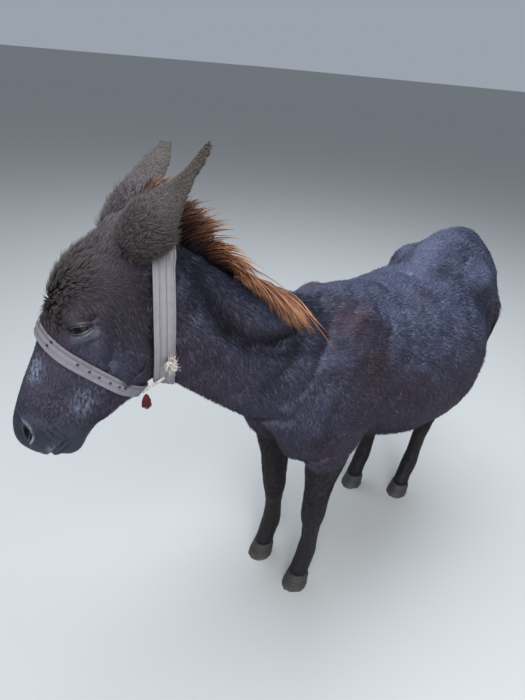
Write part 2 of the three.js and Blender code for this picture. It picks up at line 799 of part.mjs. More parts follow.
// Place on a band, by the angle from its lowest point towards the donkey's right.
function onBand({ ways, radii }, centre, angle, lift) {
  const i = round((angle / 360) * ways.length + ways.length) % ways.length;
  return centre.clone().addScaledVector(ways[i], max(radii[0][i], radii[1][i]) + lift);
}
const underKnot = [...flesh, wall(nosebandPiece), wall(collarPiece)];
const knotAt = onBand(collar, collarCentre, -30, 12).addScaledVector(faceWay(-0.5, -0.86, 0), 8);
const lump = (offset, half) => egg(knotAt.clone().add(new THREE.Vector3(...offset)).toArray(), half);
const knot = clear(
  mould(
    union(5, lump([0, 0, 0], [13, 11, 12]), lump([10, -3, 8], [9, 6, 7]), lump([4, 0, -16], [5, 5, 13])),
    knotAt.clone().subScalar(34).toArray(),
    knotAt.clone().addScalar(34).toArray(),
    4,
    100,
  ),
  underKnot,
);
// The tie joins the two bands under the jaw.
const tieEnds = [onBand(noseband, noseCentre, -9, 6), onBand(collar, collarCentre, -9, 7)];
const strand = (from, to, wide, thick) => {
  const way = to.clone().sub(from).normalize();
  const side = new THREE.Vector3().crossVectors(way, new THREE.Vector3(0, 0, 1)).normalize();
  const up = new THREE.Vector3().crossVectors(side, way);
  const ring = (p) =>
    [[-1, -1], [1, -1], [1, 1], [-1, 1]].map(([a, b]) =>
      p.clone().addScaledVector(side, (a * wide) / 2).addScaledVector(up, (b * thick) / 2),
    );
  return solid(loft([ring(from), ring(to)]));
};
const tie = clear(strand(...tieEnds, 7, 3), underKnot);
const tasselTop = onBand(noseband, noseCentre, -9, 5).add(new THREE.Vector3(6, -6, -6));
const tassel = clear(
  solid(
    loft(
      [[0, 4], [-8, 9], [-20, 10], [-32, 6]].map(([z, r]) =>
        Array.from({ length: 8 }, (_, i) => {
          const a = (i / 8) * 2 * PI;
          return tasselTop.clone().add(new THREE.Vector3(cos(a) * r, sin(a) * r, z));
        }),
      ),
    ),
  ),
  [...underKnot, wall(tie)],
);

// ---------------------------------------------------------------- exported group
const COLOURS = {
  coat: [0x2b2526, 0.8],
  hoof: [0x3b3630, 0.6],
  eye: [0x120d0b, 0.15],
  mane: [0x7d4a2c, 0.8],
  webbing: [0xa9a4a6, 0.85],
  tassel: [0x7a1f33, 0.9],
};
const donkey = new THREE.Group();

function add(name, manifold, colour) {
  const { points, faces } = plain(manifold);
  const geometry = new THREE.BufferGeometry().setFromPoints(points);
  geometry.setIndex(faces.flat());
  geometry.computeVertexNormals();
  const [color, roughness] = COLOURS[colour];
  const mesh = new THREE.Mesh(
    geometry,
    new THREE.MeshStandardMaterial({ color, roughness, metalness: 0 }),
  );
  mesh.name = name;
  donkey.add(mesh);
  return mesh;
}

add("head", head, "coat");
for (const [side, sign] of [["left", -1], ["right", 1]]) {
  add(`eye_${side}`, atFace(ball(EYE.radius), sided(EYE.at, sign)), "eye");
  add(`ear_${side}`, ears[side], "coat");
}
const { neck: neckPiece, trunk: trunkPiece, tail: tailPiece, tail_switch: switchPiece } = pieces;
add("neck", neckPiece, "coat");
add("trunk", trunkPiece, "coat");
add("tail", tailPiece, "coat");
add("tail_switch", switchPiece, "mane");
for (const name of Object.keys(FEET)) {
  add(`leg_${name}`, pieces[name], "coat");
  add(`hoof_${name}`, hooves[name], "hoof");
}
add("mane", mane, "mane");
add("noseband", nosebandPiece, "webbing");
add("collar", collarPiece, "webbing");
add("collar_knot", knot, "webbing");
add("tie", tie, "webbing");
add("tassel", tassel, "tassel");

// The middle of the footprint is the origin.
const { min: low, max: high } = new THREE.Box3().setFromObject(donkey);
donkey.position.set(-(low.x + high.x) / 2, -(low.y + high.y) / 2, -low.z);
export default donkey;
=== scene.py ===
"""Looks of a small shaggy donkey in a webbing halter: skin, coat, mane, tail, hooves, eyes and studio.

Metres, +Z up. The donkey faces -X, its left side is towards -Y, and it stands on Z = 0.
"""

import logging
import math
from dataclasses import dataclass, field
from enum import Enum
from typing import Iterable, Sequence, Union

import bmesh
import bpy
import numpy as np
from mathutils import Matrix, Vector
from mathutils.bvhtree import BVHTree
from mathutils.kdtree import KDTree


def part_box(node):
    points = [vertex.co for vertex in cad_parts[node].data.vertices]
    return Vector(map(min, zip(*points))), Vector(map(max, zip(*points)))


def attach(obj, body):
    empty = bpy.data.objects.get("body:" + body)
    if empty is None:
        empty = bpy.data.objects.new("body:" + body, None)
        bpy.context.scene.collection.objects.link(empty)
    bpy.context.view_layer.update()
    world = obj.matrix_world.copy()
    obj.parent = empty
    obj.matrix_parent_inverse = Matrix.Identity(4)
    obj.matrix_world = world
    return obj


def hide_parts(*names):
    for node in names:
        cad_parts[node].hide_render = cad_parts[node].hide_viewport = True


log = logging.getLogger("donkey")
Array = np.ndarray
Number = Union[int, float]
Triple = tuple[float, float, float]  # a colour, a place or a scale
Material = bpy.types.Material
TURN = 2.0 * math.pi
PATCH = 0.003  # one strand's size on the map

SIDES = {"left": -1.0, "right": 1.0}
LEGS = ("fore_left", "fore_right", "hind_left", "hind_right")


# ---------------------------------------------------------------- numbers on many points at once
def unit(rows: Array) -> Array:
    """Each row at length one."""
    return rows / np.maximum(np.linalg.norm(rows, axis=-1, keepdims=True), 1e-12)


def ease(values: Array, low: float, high: float) -> Array:
    """A smooth rise from 0 at low to 1 at high, or a fall where high is the lower."""
    t = np.clip((values - low) / (high - low), 0.0, 1.0)
    return t * t * (3.0 - 2.0 * t)


def bell(values: Array, half: float) -> Array:
    """1 where a value is 0, and 0.37 where it is half."""
    return np.exp(-((values / half) ** 2))


def blob(points: Array, centre: Sequence[float], half: Sequence[float]) -> Array:
    """A soft spot: 1 at its centre, 0.37 at its half sizes, and near 0 beyond."""
    offset = (points - np.asarray(centre)) / np.asarray(half)
    return np.exp(-(offset**2).sum(axis=1))


def columns(count: int, *values: Union[Array, Number]) -> Array:
    """Rows from columns, each an array or one number for all rows."""
    return np.column_stack([np.broadcast_to(value, count) for value in values])


def lay(base: Array, over: Array, share: Array) -> Array:
    """Rows laid over others, each by its share."""
    return base + (over - base) * share[:, None]


@dataclass
class Ripple:
    """Smooth random variation over space, as a sum of sine waves of about one wavelength."""

    wavelength: float
    seed: int
    waves: int = 12

    def __call__(self, points: Array) -> Array:
        """Values of about -1 to 1 at each point."""
        random = np.random.default_rng(self.seed)
        ways = unit(random.normal(size=(self.waves, 3)))
        pace = TURN / (self.wavelength * random.uniform(0.7, 1.4, self.waves))
        start = random.uniform(0.0, TURN, self.waves)
        total = np.zeros(len(points))
        for way, rate, phase in zip(ways, pace, start):
            total += np.sin(points @ way * rate + phase)
        return total / math.sqrt(self.waves / 2.0)


# ---------------------------------------------------------------- meshes as arrays
@dataclass
class Form:
    """A triangle mesh held as arrays of points and faces."""

    points: Array
    faces: Array

    @classmethod
    def of_object(cls, obj: bpy.types.Object) -> "Form":
        """The triangles of an object's mesh, with its modifiers applied."""
        graph = bpy.context.evaluated_depsgraph_get()
        evaluated = obj.evaluated_get(graph)
        mesh = evaluated.to_mesh()
        mesh.calc_loop_triangles()
        points = np.empty(len(mesh.vertices) * 3)
        mesh.vertices.foreach_get("co", points)
        faces = np.empty(len(mesh.loop_triangles) * 3, np.int32)
        mesh.loop_triangles.foreach_get("vertices", faces)
        evaluated.to_mesh_clear()
        return cls(points.reshape(-1, 3), faces.reshape(-1, 3))

    @classmethod
    def taken(cls, obj: bpy.types.Object) -> "Form":
        """The triangles of a working object, which is then removed."""
        form, mesh = cls.of_object(obj), obj.data
        bpy.data.objects.remove(obj)
        bpy.data.meshes.remove(mesh)
        return form

    @classmethod
    def merged(cls, forms: Sequence["Form"]) -> "Form":
        """Several forms as one, with none of their points shared."""
        starts = np.cumsum([0] + [len(f.points) for f in forms[:-1]])
        faces = [f.faces + start for f, start in zip(forms, starts)]
        return cls(np.vstack([f.points for f in forms]), np.vstack(faces))

    def normals(self) -> Array:
        """The outward direction at each point, weighted by the faces around it."""
        a, b, c = (self.points[self.faces[:, k]] for k in range(3))
        across = np.cross(b - a, c - a)
        total = np.zeros_like(self.points)
        for k in range(3):
            for axis in range(3):
                total[:, axis] += np.bincount(self.faces[:, k], across[:, axis], len(total))
        return unit(total)

    def edges(self) -> Array:
        """Each edge once, as a pair of point numbers."""
        pairs = np.vstack([self.faces[:, [0, 1]], self.faces[:, [1, 2]], self.faces[:, [2, 0]]])
        return np.unique(np.sort(pairs, axis=1), axis=0)

    def spread(self, values: Array, rounds: int) -> Array:
        """Evens out values by taking the mean of each point's neighbours, several times.

        Args:
            values: One row or number for each point.
            rounds: How often.

        Returns:
            The evened values.
        """
        net = Net(self.edges(), len(self.points))
        for _ in range(rounds):
            values = 0.5 * values + 0.5 * net.mean(values)
        return values

    def smooth(self, rounds: int) -> Array:
        """Places with the small facets ironed out and the volume kept.

        Args:
            rounds: How many pairs of a shrinking and a swelling step.

        Returns:
            The new points.
        """
        net = Net(self.edges(), len(self.points))
        points = self.points
        for _ in range(rounds):
            for share in (0.5, -0.52):
                points = points + share * (net.mean(points) - points)
        return points

    def temporary(self) -> bpy.types.Object:
        """A linked object with this mesh, for a modifier to work on."""
        mesh = bpy.data.meshes.new("working")
        mesh.from_pydata(self.points, [], self.faces)
        obj = bpy.data.objects.new("working", mesh)
        bpy.context.scene.collection.objects.link(obj)
        return obj

    def through(self, kind: str, settings: dict[str, object], weights: Array | None = None) -> "Form":
        """This mesh after one modifier.

        Args:
            kind: The modifier's type.
            settings: The modifier's properties.
            weights: Weights of the vertex group "weight", where the modifier reads one.

        Returns:
            The changed mesh.
        """
        obj = self.temporary()
        if weights is not None:
            group = obj.vertex_groups.new(name="weight")
            for level in np.unique(np.round(weights, 1)):
                chosen = np.nonzero(np.round(weights, 1) == level)[0]
                group.add(chosen.tolist(), float(level), "REPLACE")
        modifier = obj.modifiers.new("step", kind)
        for name, value in settings.items():
            setattr(modifier, name, value)
        return Form.taken(obj)

    def split(self, chosen: Array) -> "Form":
        """Cuts the chosen triangles finer, each of their edges in two.

        Args:
            chosen: True for each face to cut.

        Returns:
            The finer mesh.
        """
        obj = self.temporary()
        work = bmesh.new()
        work.from_mesh(obj.data)
        work.faces.ensure_lookup_table()
        picked = {e for i in np.nonzero(chosen)[0] for e in work.faces[int(i)].edges}
        bmesh.ops.subdivide_edges(work, edges=list(picked), cuts=1, use_grid_fill=False)
        bmesh.ops.triangulate(work, faces=work.faces[:])
        work.to_mesh(obj.data)
        work.free()
        return Form.taken(obj)

    def tree(self) -> BVHTree:
        """A tree for finding the nearest place on this mesh."""
        return BVHTree.FromPolygons(self.points.tolist(), self.faces.tolist())


@dataclass
class Net:
    """Which points share an edge."""

    edges: Array
    count: int
    degree: Array = field(init=False)

    def __post_init__(self) -> None:
        """Counts the neighbours of each point."""
        self.degree = np.maximum(np.bincount(self.edges.ravel(), minlength=self.count), 1)

    def mean(self, values: Array) -> Array:
        """The mean of each point's neighbours.

        Args:
            values: One row or number for each point.

        Returns:
            Means, in the same shape.
        """
        columns = values.reshape(self.count, -1)
        a, b = self.edges[:, 0], self.edges[:, 1]
        means = np.empty_like(columns, dtype=float)
        for k in range(columns.shape[1]):
            total = np.bincount(a, columns[b, k], self.count) + np.bincount(b, columns[a, k], self.count)
            means[:, k] = total / self.degree
        return means.reshape(values.shape)


def new_object(
    name: str,
    points: Array,
    corners: Array,
    sizes: Array,
    marks: dict[str, Array] | None = None,
    maps: dict[str, Array] | None = None,
) -> bpy.types.Object:
    """Makes a smooth-shaded mesh object from arrays.

    Args:
        name: The piece's name.
        points: Places of its points.
        corners: Point numbers of all faces, one face after another.
        sizes: How many corners each face has.
        marks: Values for each point, as named attributes.
        maps: UV maps, a place for each corner.

    Returns:
        The linked object.
    """
    mesh = bpy.data.meshes.new(name)
    mesh.vertices.add(len(points))
    mesh.vertices.foreach_set("co", np.asarray(points, np.float32).ravel())
    mesh.loops.add(len(corners))
    mesh.loops.foreach_set("vertex_index", np.asarray(corners, np.int32))
    mesh.polygons.add(len(sizes))
    starts = np.concatenate([[0], np.cumsum(sizes)[:-1]])
    mesh.polygons.foreach_set("loop_start", starts.astype(np.int32))
    mesh.update(calc_edges=True)
    mesh.polygons.foreach_set("use_smooth", np.ones(len(sizes), bool))
    for key, values in (marks or {}).items():
        mesh.attributes.new(key, "FLOAT", "POINT").data.foreach_set("value", values.astype(np.float32))
    for key, places in (maps or {}).items():
        mesh.uv_layers.new(name=key).uv.foreach_set("vector", places.astype(np.float32).ravel())
    mesh.validate()
    obj = bpy.data.objects.new(name, mesh)
    bpy.context.scene.collection.objects.link(obj)
    return obj


def dress(obj: bpy.types.Object, material: Material, slot: str, *nodes: str) -> bpy.types.Object:
    """Gives a piece its material and its body, and hides the nodes that it stands for.

    Args:
        obj: The piece.
        material: Its finish.
        slot: A material slot's name, not used.
        nodes: CAD nodes that it replaces.

    Returns:
        The same piece.
    """
    obj.data.materials.append(material)
    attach(obj, "root")
    if nodes:
        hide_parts(*nodes)
    log.info("%s: %d points, %d faces", obj.name, len(obj.data.vertices), len(obj.data.polygons))
    return obj


# ---------------------------------------------------------------- shader expressions
@dataclass(frozen=True)
class Wire:
    """A shader value or colour that can stand in a Python expression."""

    finish: "Finish"
    socket: bpy.types.NodeSocket

    def _maths(self, operation: str, *others: Union["Wire", Number]) -> "Wire":
        """Adds a Math node of this value and others."""
        settings = {"operation": operation}
        return self.finish.node("ShaderNodeMath", settings, {0: self} | dict(enumerate(others, 1)))

    def _flipped(self, operation: str, other: Number) -> "Wire":
        """Adds a Math node with a plain number before this value."""
        return self.finish.node("ShaderNodeMath", {"operation": operation}, {0: other, 1: self})

    def __add__(self, other: Union["Wire", Number]) -> "Wire":
        """This value plus another."""
        return self._maths("ADD", other)

    def __radd__(self, other: Number) -> "Wire":
        """A number plus this value."""
        return self._flipped("ADD", other)

    def __sub__(self, other: Union["Wire", Number]) -> "Wire":
        """This value less another."""
        return self._maths("SUBTRACT", other)

    def __rsub__(self, other: Number) -> "Wire":
        """A number less this value."""
        return self._flipped("SUBTRACT", other)

    def __mul__(self, other: Union["Wire", Number]) -> "Wire":
        """This value times another."""
        return self._maths("MULTIPLY", other)

    def __rmul__(self, other: Number) -> "Wire":
        """A number times this value."""
        return self._flipped("MULTIPLY", other)

    def __pow__(self, power: Number) -> "Wire":
        """This value to a power."""
        return self._maths("POWER", power)

    def cap(self) -> "Wire":
        """This value kept from 0 to 1."""
        return self.finish.node("ShaderNodeClamp", {}, {"Value": self})

    def rise(self, low: float, high: float) -> "Wire":
        """A smooth rise from 0 to 1 as this value goes from low to high."""
        settings = {"interpolation_type": "SMOOTHSTEP"}
        return self.finish.node("ShaderNodeMapRange", settings, {"Value": self, 1: low, 2: high})

    def wave(self) -> "Wire":
        """The sine of this value."""
        return self._maths("SINE")


class Finish:
    """A material under construction."""

    def __init__(self, name: str) -> None:
        """Starts a material with a shader and its output.

        Args:
            name: The material's name.
        """
        self.material = bpy.data.materials.new(name)
        self.material.use_nodes = True
        self.tree = self.material.node_tree
        self.shader = self.tree.nodes["Principled BSDF"]

    def raw(
        self, kind: str, settings: dict[str, object], inputs: dict[Union[str, int], object]
    ) -> bpy.types.Node:
        """Adds a node.

        Args:
            kind: The node's type.
            settings: Its properties, set first.
            inputs: Values or links of its sockets, by name or number.

        Returns:
            The node.
        """
        node = self.tree.nodes.new(kind)
        for name, value in settings.items():
            if name == "stops":
                self._stops(node.color_ramp, value)
            else:
                setattr(node, name, value)
        for key, value in inputs.items():
            self.feed(node.inputs[key], value)
        return node

    def node(
        self,
        kind: str,
        settings: dict[str, object],
        inputs: dict[Union[str, int], object],
        output: Union[str, int] = 0,
    ) -> Wire:
        """Adds a node and gives one of its outputs, by name or number."""
        return Wire(self, self.raw(kind, settings, inputs).outputs[output])

    def feed(self, socket: bpy.types.NodeSocket, value: object) -> None:
        """Links a wire to a socket, or sets its value."""
        if isinstance(value, Wire):
            self.tree.links.new(value.socket, socket)
        elif isinstance(value, tuple) and len(value) == 3 and socket.type == "RGBA":
            socket.default_value = (*value, 1.0)
        else:
            socket.default_value = value

    @staticmethod
    def _stops(ramp: bpy.types.ColorRamp, stops: Sequence[tuple[float, float]]) -> None:
        """Sets a ramp's grey stops from pairs of place and brightness."""
        while len(ramp.elements) < len(stops):
            ramp.elements.new(0.5)
        for element, (place, grey) in zip(ramp.elements, stops):
            element.position = place
            element.color = (grey, grey, grey, 1.0)

    def mark(self, name: str) -> Wire:
        """The value of a named attribute."""
        return self.node("ShaderNodeAttribute", {"attribute_name": name}, {}, "Fac")

    def place(self) -> Wire:
        """The place on the object, in metres."""
        return self.node("ShaderNodeTexCoord", {}, {}, "Object")

    def scaled(self, place: Wire, scale: Triple) -> Wire:
        """A place with its axes stretched."""
        settings = {"operation": "MULTIPLY"}
        return self.node("ShaderNodeVectorMath", settings, {0: place, 1: scale}, "Vector")

    def noise(self, place: Wire, scale: float, detail: float = 3.0, rough: float = 0.5) -> Wire:
        """Grey noise from 0 to 1 at a scale in bumps to the metre."""
        inputs = {"Vector": place, "Scale": scale, "Detail": detail, "Roughness": rough}
        return self.node("ShaderNodeTexNoise", {}, inputs, "Fac")

    def mix(self, share: Union[Wire, Number], first: object, second: object) -> Wire:
        """A colour between two others, by the share of the second."""
        settings = {"data_type": "RGBA"}
        return self.node("ShaderNodeMix", settings, {0: share, 6: first, 7: second}, 2)

    def times(self, first: Wire, second: object) -> Wire:
        """Two colours multiplied."""
        settings = {"data_type": "RGBA", "blend_type": "MULTIPLY"}
        return self.node("ShaderNodeMix", settings, {0: 1.0, 6: first, 7: second}, 2)

    def grey(self, value: Wire) -> Wire:
        """A value as a grey colour."""
        return self.node("ShaderNodeCombineColor", {}, {0: value, 1: value, 2: value}, 0)

    def bump(self, height: Wire, distance: float, strength: float = 1.0) -> Wire:
        """A normal raised by a height, of a full height of distance metres."""
        inputs = {"Height": height, "Distance": distance, "Strength": strength}
        return self.node("ShaderNodeBump", {}, inputs, "Normal")

    def surface(self, **inputs: object) -> Material:
        """Sets the shader's sockets, with spaces written as underscores, and gives the material."""
        for key, value in inputs.items():
            self.feed(self.shader.inputs[key.replace("_", " ")], value)
        return self.material


# ---------------------------------------------------------------- the head's own directions
@dataclass
class Head:
    """The head's frame: u runs down the face from the poll, v out of the forehead, w to its right.

    Places on the head are given in units of 1/450 of its length.
    """

    turn: float = 22.0
    lower: float = 56.0
    tilt: float = -10.0
    length: float = 0.504
    eye: Triple = (155.0, -27.0, 64.0)
    slant: float = 44.0
    axes: Array = field(init=False)
    start: Array = field(init=False)

    def __post_init__(self) -> None:
        """Turns the head as it is held and finds its poll from the eyes."""
        turned = (
            Matrix.Rotation(math.radians(-self.turn), 3, "Z")
            @ Matrix.Rotation(math.radians(-self.lower), 3, "Y")
            @ Matrix.Rotation(math.radians(self.tilt), 3, "X")
        )
        ways = np.array([(-1.0, 0.0, 0.0), (0.0, 0.0, 1.0), (0.0, 1.0, 0.0)])
        self.axes = ways @ np.array(turned).T
        middle = (self.eye_place("left") + self.eye_place("right")) / 2.0
        self.start = middle - (np.array([self.eye[0], self.eye[1], 0.0]) * self.unit) @ self.axes

    @property
    def unit(self) -> float:
        """Metres in one head unit."""
        return self.length / 450.0

    @staticmethod
    def eye_place(side: str) -> Array:
        """The middle of an eyeball."""
        low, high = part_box(f"eye_{side}")
        return np.array((low + high) / 2.0)

    @staticmethod
    def eye_radius() -> float:
        """The radius of an eyeball."""
        low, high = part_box("eye_left")
        return float(max(high - low)) / 2.0

    def at(self, u: float, v: float, w: float) -> Array:
        """A place on the head, in the donkey's frame."""
        return self.start + (np.array([u, v, w]) * self.unit) @ self.axes

    def way(self, u: float, v: float, w: float) -> Array:
        """A direction on the head, at length one."""
        return unit(np.array([u, v, w]) @ self.axes)

    def read(self, points: Array) -> Array:
        """Places in the donkey's frame as u, v and w."""
        return (points - self.start) @ self.axes.T / self.unit


# ---------------------------------------------------------------- the skin
@dataclass
class Skin:
    """One skin over all the flesh, inside it by the coat's depth."""

    head: Head
    voxel: float = 0.005
    grow: float = 0.0006  # closes the narrow cuts between the pieces of flesh
    budget: int = 176_000  # triangles, before the face is cut finer
    plug: float = 0.0252  # balls that fill the eye sockets before they are modelled
    nostril_plug: float = 0.0235  # balls that fill out the muzzle round the nostrils
    eye_reach: float = 0.040  # how far round an eye the triangles are cut finer
    nostril_reach: float = 0.034
    form: Form = field(init=False)
    marks: dict[str, Array] = field(init=False)

    def build(self) -> None:
        """Makes the skin's mesh and the shares of the body's parts at each of its points."""
        self.form = self._whole()
        self._iron()
        self._thin()
        self._refine()
        self._part()
        log.info("skin: %d points, %d faces", len(self.form.points), len(self.form.faces))

    @staticmethod
    def nodes() -> list[str]:
        """The nodes of flesh."""
        return ["head", "neck", "trunk", "tail", "ear_left", "ear_right"] + [
            f"leg_{leg}" for leg in LEGS
        ]

    def _grown(self, node: str) -> Form:
        """A node's mesh, grown by a hair's breadth."""
        form = Form.of_object(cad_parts[node])
        welded = weld(form)
        welded.points = welded.points + welded.normals() * self.grow
        return welded

    def _whole(self) -> Form:
        """All flesh in one closed mesh."""
        forms = [self._grown(node) for node in self.nodes()]
        for side, sign in SIDES.items():
            forms.append(ball(self.head.eye_place(side), self.plug))
            forms.append(ball(self.head.at(386, -60, sign * 27), self.nostril_plug))
        settings = {"mode": "VOXEL", "voxel_size": self.voxel, "use_smooth_shade": True}
        return weld(Form.merged(forms)).through("REMESH", settings)

    def _iron(self) -> None:
        """Irons out the facets, more on the body than on the face."""
        fine = self.form.smooth(7)
        broad = Form(fine, self.form.faces).smooth(55)
        u, v, w = self.head.read(self.form.points).T
        near = self._face_share(u, v, w)
        share = self.form.spread(near, 12)
        ears = self.form.spread(self._near_ears(), 10)
        share = np.maximum(share, ears)[:, None]
        self.form.points = fine * share + broad * (1.0 - share)

    @staticmethod
    def _face_share(u: Array, v: Array, w: Array) -> Array:
        """1 on the head and 0 on the neck, from places on the head."""
        inside = (np.abs(w) < 110) & (v > -215) & (v < 120)
        return ease(u * 0.714 + (v + 98) * 0.70 - 40, -10, 50) * inside

    def _near_ears(self) -> Array:
        """1 on the ears."""
        share = np.zeros(len(self.form.points))
        for side in SIDES:
            low, high = box_of(f"ear_{side}")
            inside = np.all((self.form.points > low - 0.004) & (self.form.points < high + 0.004), axis=1)
            share[inside] = 1.0
        return share

    def _thin(self) -> None:
        """Takes triangles out of the body and keeps those of the head."""
        u, v, w = self.head.read(self.form.points).T
        keep = np.maximum(self._face_share(u, v, w), self._near_ears())
        settings = {
            "ratio": min(self.budget / len(self.form.faces), 1.0),
            "vertex_group": "weight",
            "invert_vertex_group": True,
            "vertex_group_factor": 1.0,
        }
        self.form = self.form.through("DECIMATE", settings, np.clip(keep, 0.0, 0.9))

    def _refine(self) -> None:
        """Cuts the triangles round the eyes, nostrils and mouth finer."""
        for reach in (1.0, 0.62):
            middle = self.form.points[self.form.faces].mean(axis=1)
            chosen = np.zeros(len(middle), bool)
            for side in SIDES:
                eye = self.head.eye_place(side)
                chosen |= np.linalg.norm(middle - eye, axis=1) < self.eye_reach * reach
            for sign in SIDES.values():
                nostril = self.head.at(390, -50, sign * 34)
                chosen |= np.linalg.norm(middle - nostril, axis=1) < self.nostril_reach * reach
            u, v, _ = self.head.read(middle).T
            if reach == 1.0:
                chosen |= (u > 340) & (v < -80) & (v > -150)
            else:
                chosen |= np.abs(Mouth.offset(u, v)) < 7
            self.form = self.form.split(chosen)

    def _part(self) -> None:
        """Finds which part of the body each point belongs to."""
        names = self.nodes()
        forms = [Form.of_object(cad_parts[node]) for node in names]
        owner = np.repeat(np.arange(len(forms)), [len(f.faces) for f in forms])
        tree = Form.merged(forms).tree()
        found = np.array([owner[tree.find_nearest(Vector(p))[2]] for p in self.form.points])
        self.marks = {name: self.form.spread((found == k) * 1.0, 8) for k, name in enumerate(names)}


def box_of(node: str) -> tuple[Array, Array]:
    """The low and high corner of a node's box."""
    low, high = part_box(node)
    return np.array(low), np.array(high)


def weld(form: Form) -> Form:
    """The same mesh, with each point once."""
    _, first, back = np.unique(np.round(form.points, 6), axis=0, return_index=True, return_inverse=True)
    return Form(form.points[first], back.reshape(-1)[form.faces])


def ball(centre: Array, radius: float) -> Form:
    """A closed ball as triangles.

    Args:
        centre: Its middle.
        radius: Its radius.

    Returns:
        The mesh.
    """
    work = bmesh.new()
    bmesh.ops.create_icosphere(work, subdivisions=4, radius=radius)
    points = np.array([v.co for v in work.verts]) + centre
    faces = np.array([[v.index for v in f.verts] for f in work.faces])
    work.free()
    return Form(points, faces)


@dataclass
class Mouth:
    """The line where the lips meet, on the side of the muzzle."""

    corner: tuple[float, float] = (381.0, -115.0)
    front: tuple[float, float] = (433.0, -106.0)

    @classmethod
    def offset(cls, u: Array, v: Array) -> Array:
        """How far a place lies above the line, across it.

        Args:
            u: Places down the face.
            v: Places out of it.

        Returns:
            Heights over the line, and large numbers past its corner.
        """
        line = cls()
        share = (u - line.corner[0]) / (line.front[0] - line.corner[0])
        level = line.corner[1] + (line.front[1] - line.corner[1]) * share + 3.0 * np.sin(share * math.pi)
        return np.where(share > -0.15, v - level, 99.0)


# ---------------------------------------------------------------- the face's own forms
@dataclass(frozen=True)
class Eyelids:
    """How the skin lies round an eyeball: a slit, its lids, a crease over it and a pouch below."""

    head: Head
    side: str
    half: float = 80.0  # half the slit's length, in degrees from the ball's middle
    upper: float = 20.0
    lower: float = 18.0
    lid: float = 2.2  # millimetres of skin over the ball

    def ways(self) -> Array:
        """Directions along the slit to its front corner, up across it, and outward."""
        slant = math.radians(self.head.slant)
        out = self.head.way(0.10, 0.22, SIDES[self.side])
        along = self.head.way(math.cos(slant), math.sin(slant), 0.0)
        along = unit(along - out * (along @ out))
        rise = np.cross(out, along)
        rise = rise * np.sign(rise @ self.head.way(-math.sin(slant), math.cos(slant), 0.0))
        return np.array([along, rise, out])

    def polar(self, points: Array) -> tuple[Array, Array, Array]:
        """Distances from the ball's middle in millimetres, and degrees along and across the slit."""
        local = (points - self.head.eye_place(self.side)) @ self.ways().T
        far = np.linalg.norm(local, axis=1)
        along = np.degrees(np.arctan2(local[:, 0], local[:, 2]))
        across = np.degrees(np.arcsin(np.clip(local[:, 1] / np.maximum(far, 1e-9), -1.0, 1.0)))
        return far * 1000.0, along, across

    def margins(self, along: Array) -> tuple[Array, Array]:
        """Degrees of the upper and lower lid's edge at places along the slit."""
        share = np.clip(along / self.half, -1.0, 1.0)
        arch = np.cos(share * math.pi / 2.0)
        return self.upper * arch * (1.0 + 0.25 * share) - 2.0 * share, -self.lower * arch - 2.0 * share

    def outside(self, along: Array, across: Array) -> Array:
        """Millimetres from the slit's edge, below zero inside it."""
        upper, lower = self.margins(along)
        beyond = np.hypot(np.abs(along) - self.half, across + 2.0 * np.sign(along))
        edge = np.where(np.abs(along) < self.half, np.maximum(across - upper, lower - across), beyond)
        return edge * math.radians(self.head.eye_radius() * 1000.0)

    def shape(self, points: Array) -> Array:
        """The skin's points with the lids modelled."""
        ball_radius = self.head.eye_radius() * 1000.0
        far, along, across = self.polar(points)
        edge = self.outside(along, across)
        near = (far < 50.0) & (np.abs(along) < 125.0)
        over = ball_radius + self.lid + 0.10 * np.maximum(edge, 0.0)
        lids = far + (over - far) * (1.0 - ease(edge, 5.0, 14.0))
        lids += np.where(across > 0, -1.5, 0.0) * bell(edge - 7.0, 1.7)
        lids += np.where(across > 0, 1.2, 0.0) * bell(edge - 10.5, 2.2)
        lids += np.where(across < 0, 1.6, 0.0) * bell(edge - 5.5, 2.6)
        lids += np.where(across < 0, -1.3, 0.0) * bell(edge - 11.5, 2.0)
        corner = bell(across + 2.0 * np.sign(along), 5.0)
        lids -= 3.0 * corner * ease(np.abs(along), self.half - 4, self.half + 4) * ease(edge, 16.0, 6.0)
        lids = np.where(edge < -0.4, np.minimum(ball_radius - 2.5, far), lids)
        fade = ease(far, 49.0, 36.0) * ease(np.abs(along), 122.0, 105.0)
        new = np.where(near, far + (lids - far) * fade, far)
        centre = self.head.eye_place(self.side)
        return centre + (points - centre) * (new / np.maximum(far, 1e-9))[:, None]


@dataclass(frozen=True)
class Nostril:
    """A slanting comma of a nostril on one side of the muzzle."""

    head: Head
    side: str
    top: tuple[float, float] = (375.0, -35.0)
    foot: tuple[float, float] = (399.0, -58.0)
    half: float = 6.4
    bow: float = -3.0
    deep: float = 13.0

    def measure(self, points: Array) -> tuple[Array, Array]:
        """How far out of the nostril each point lies, 1 at its edge, and its offset across it."""
        u, v, w = self.head.read(points).T
        run = np.array(self.foot) - np.array(self.top)
        length = np.hypot(*run)
        along = ((u - self.top[0]) * run[0] + (v - self.top[1]) * run[1]) / length**2
        across = ((u - self.top[0]) * -run[1] + (v - self.top[1]) * run[0]) / length
        across = across - self.bow * (1.0 - (2.0 * along - 1.0) ** 2)
        out = np.hypot(across / self.half, (2.0 * along - 1.0) * 0.92)
        return np.where(w * SIDES[self.side] > 6.0, out, 9.0), across

    def shape(self, points: Array, normals: Array) -> Array:
        """The skin's points with the nostril sunk and its rims raised."""
        out, across = self.measure(points)
        inward = self.head.way(-0.35, 0.1, -SIDES[self.side])
        sunk = ease(out, 1.02, 0.35) * self.deep
        rim = bell(out - 1.35, 0.33) * np.where(across < 0, 2.8, 0.8)
        return points + inward * (sunk * 0.001)[:, None] + normals * (rim * 0.001)[:, None]


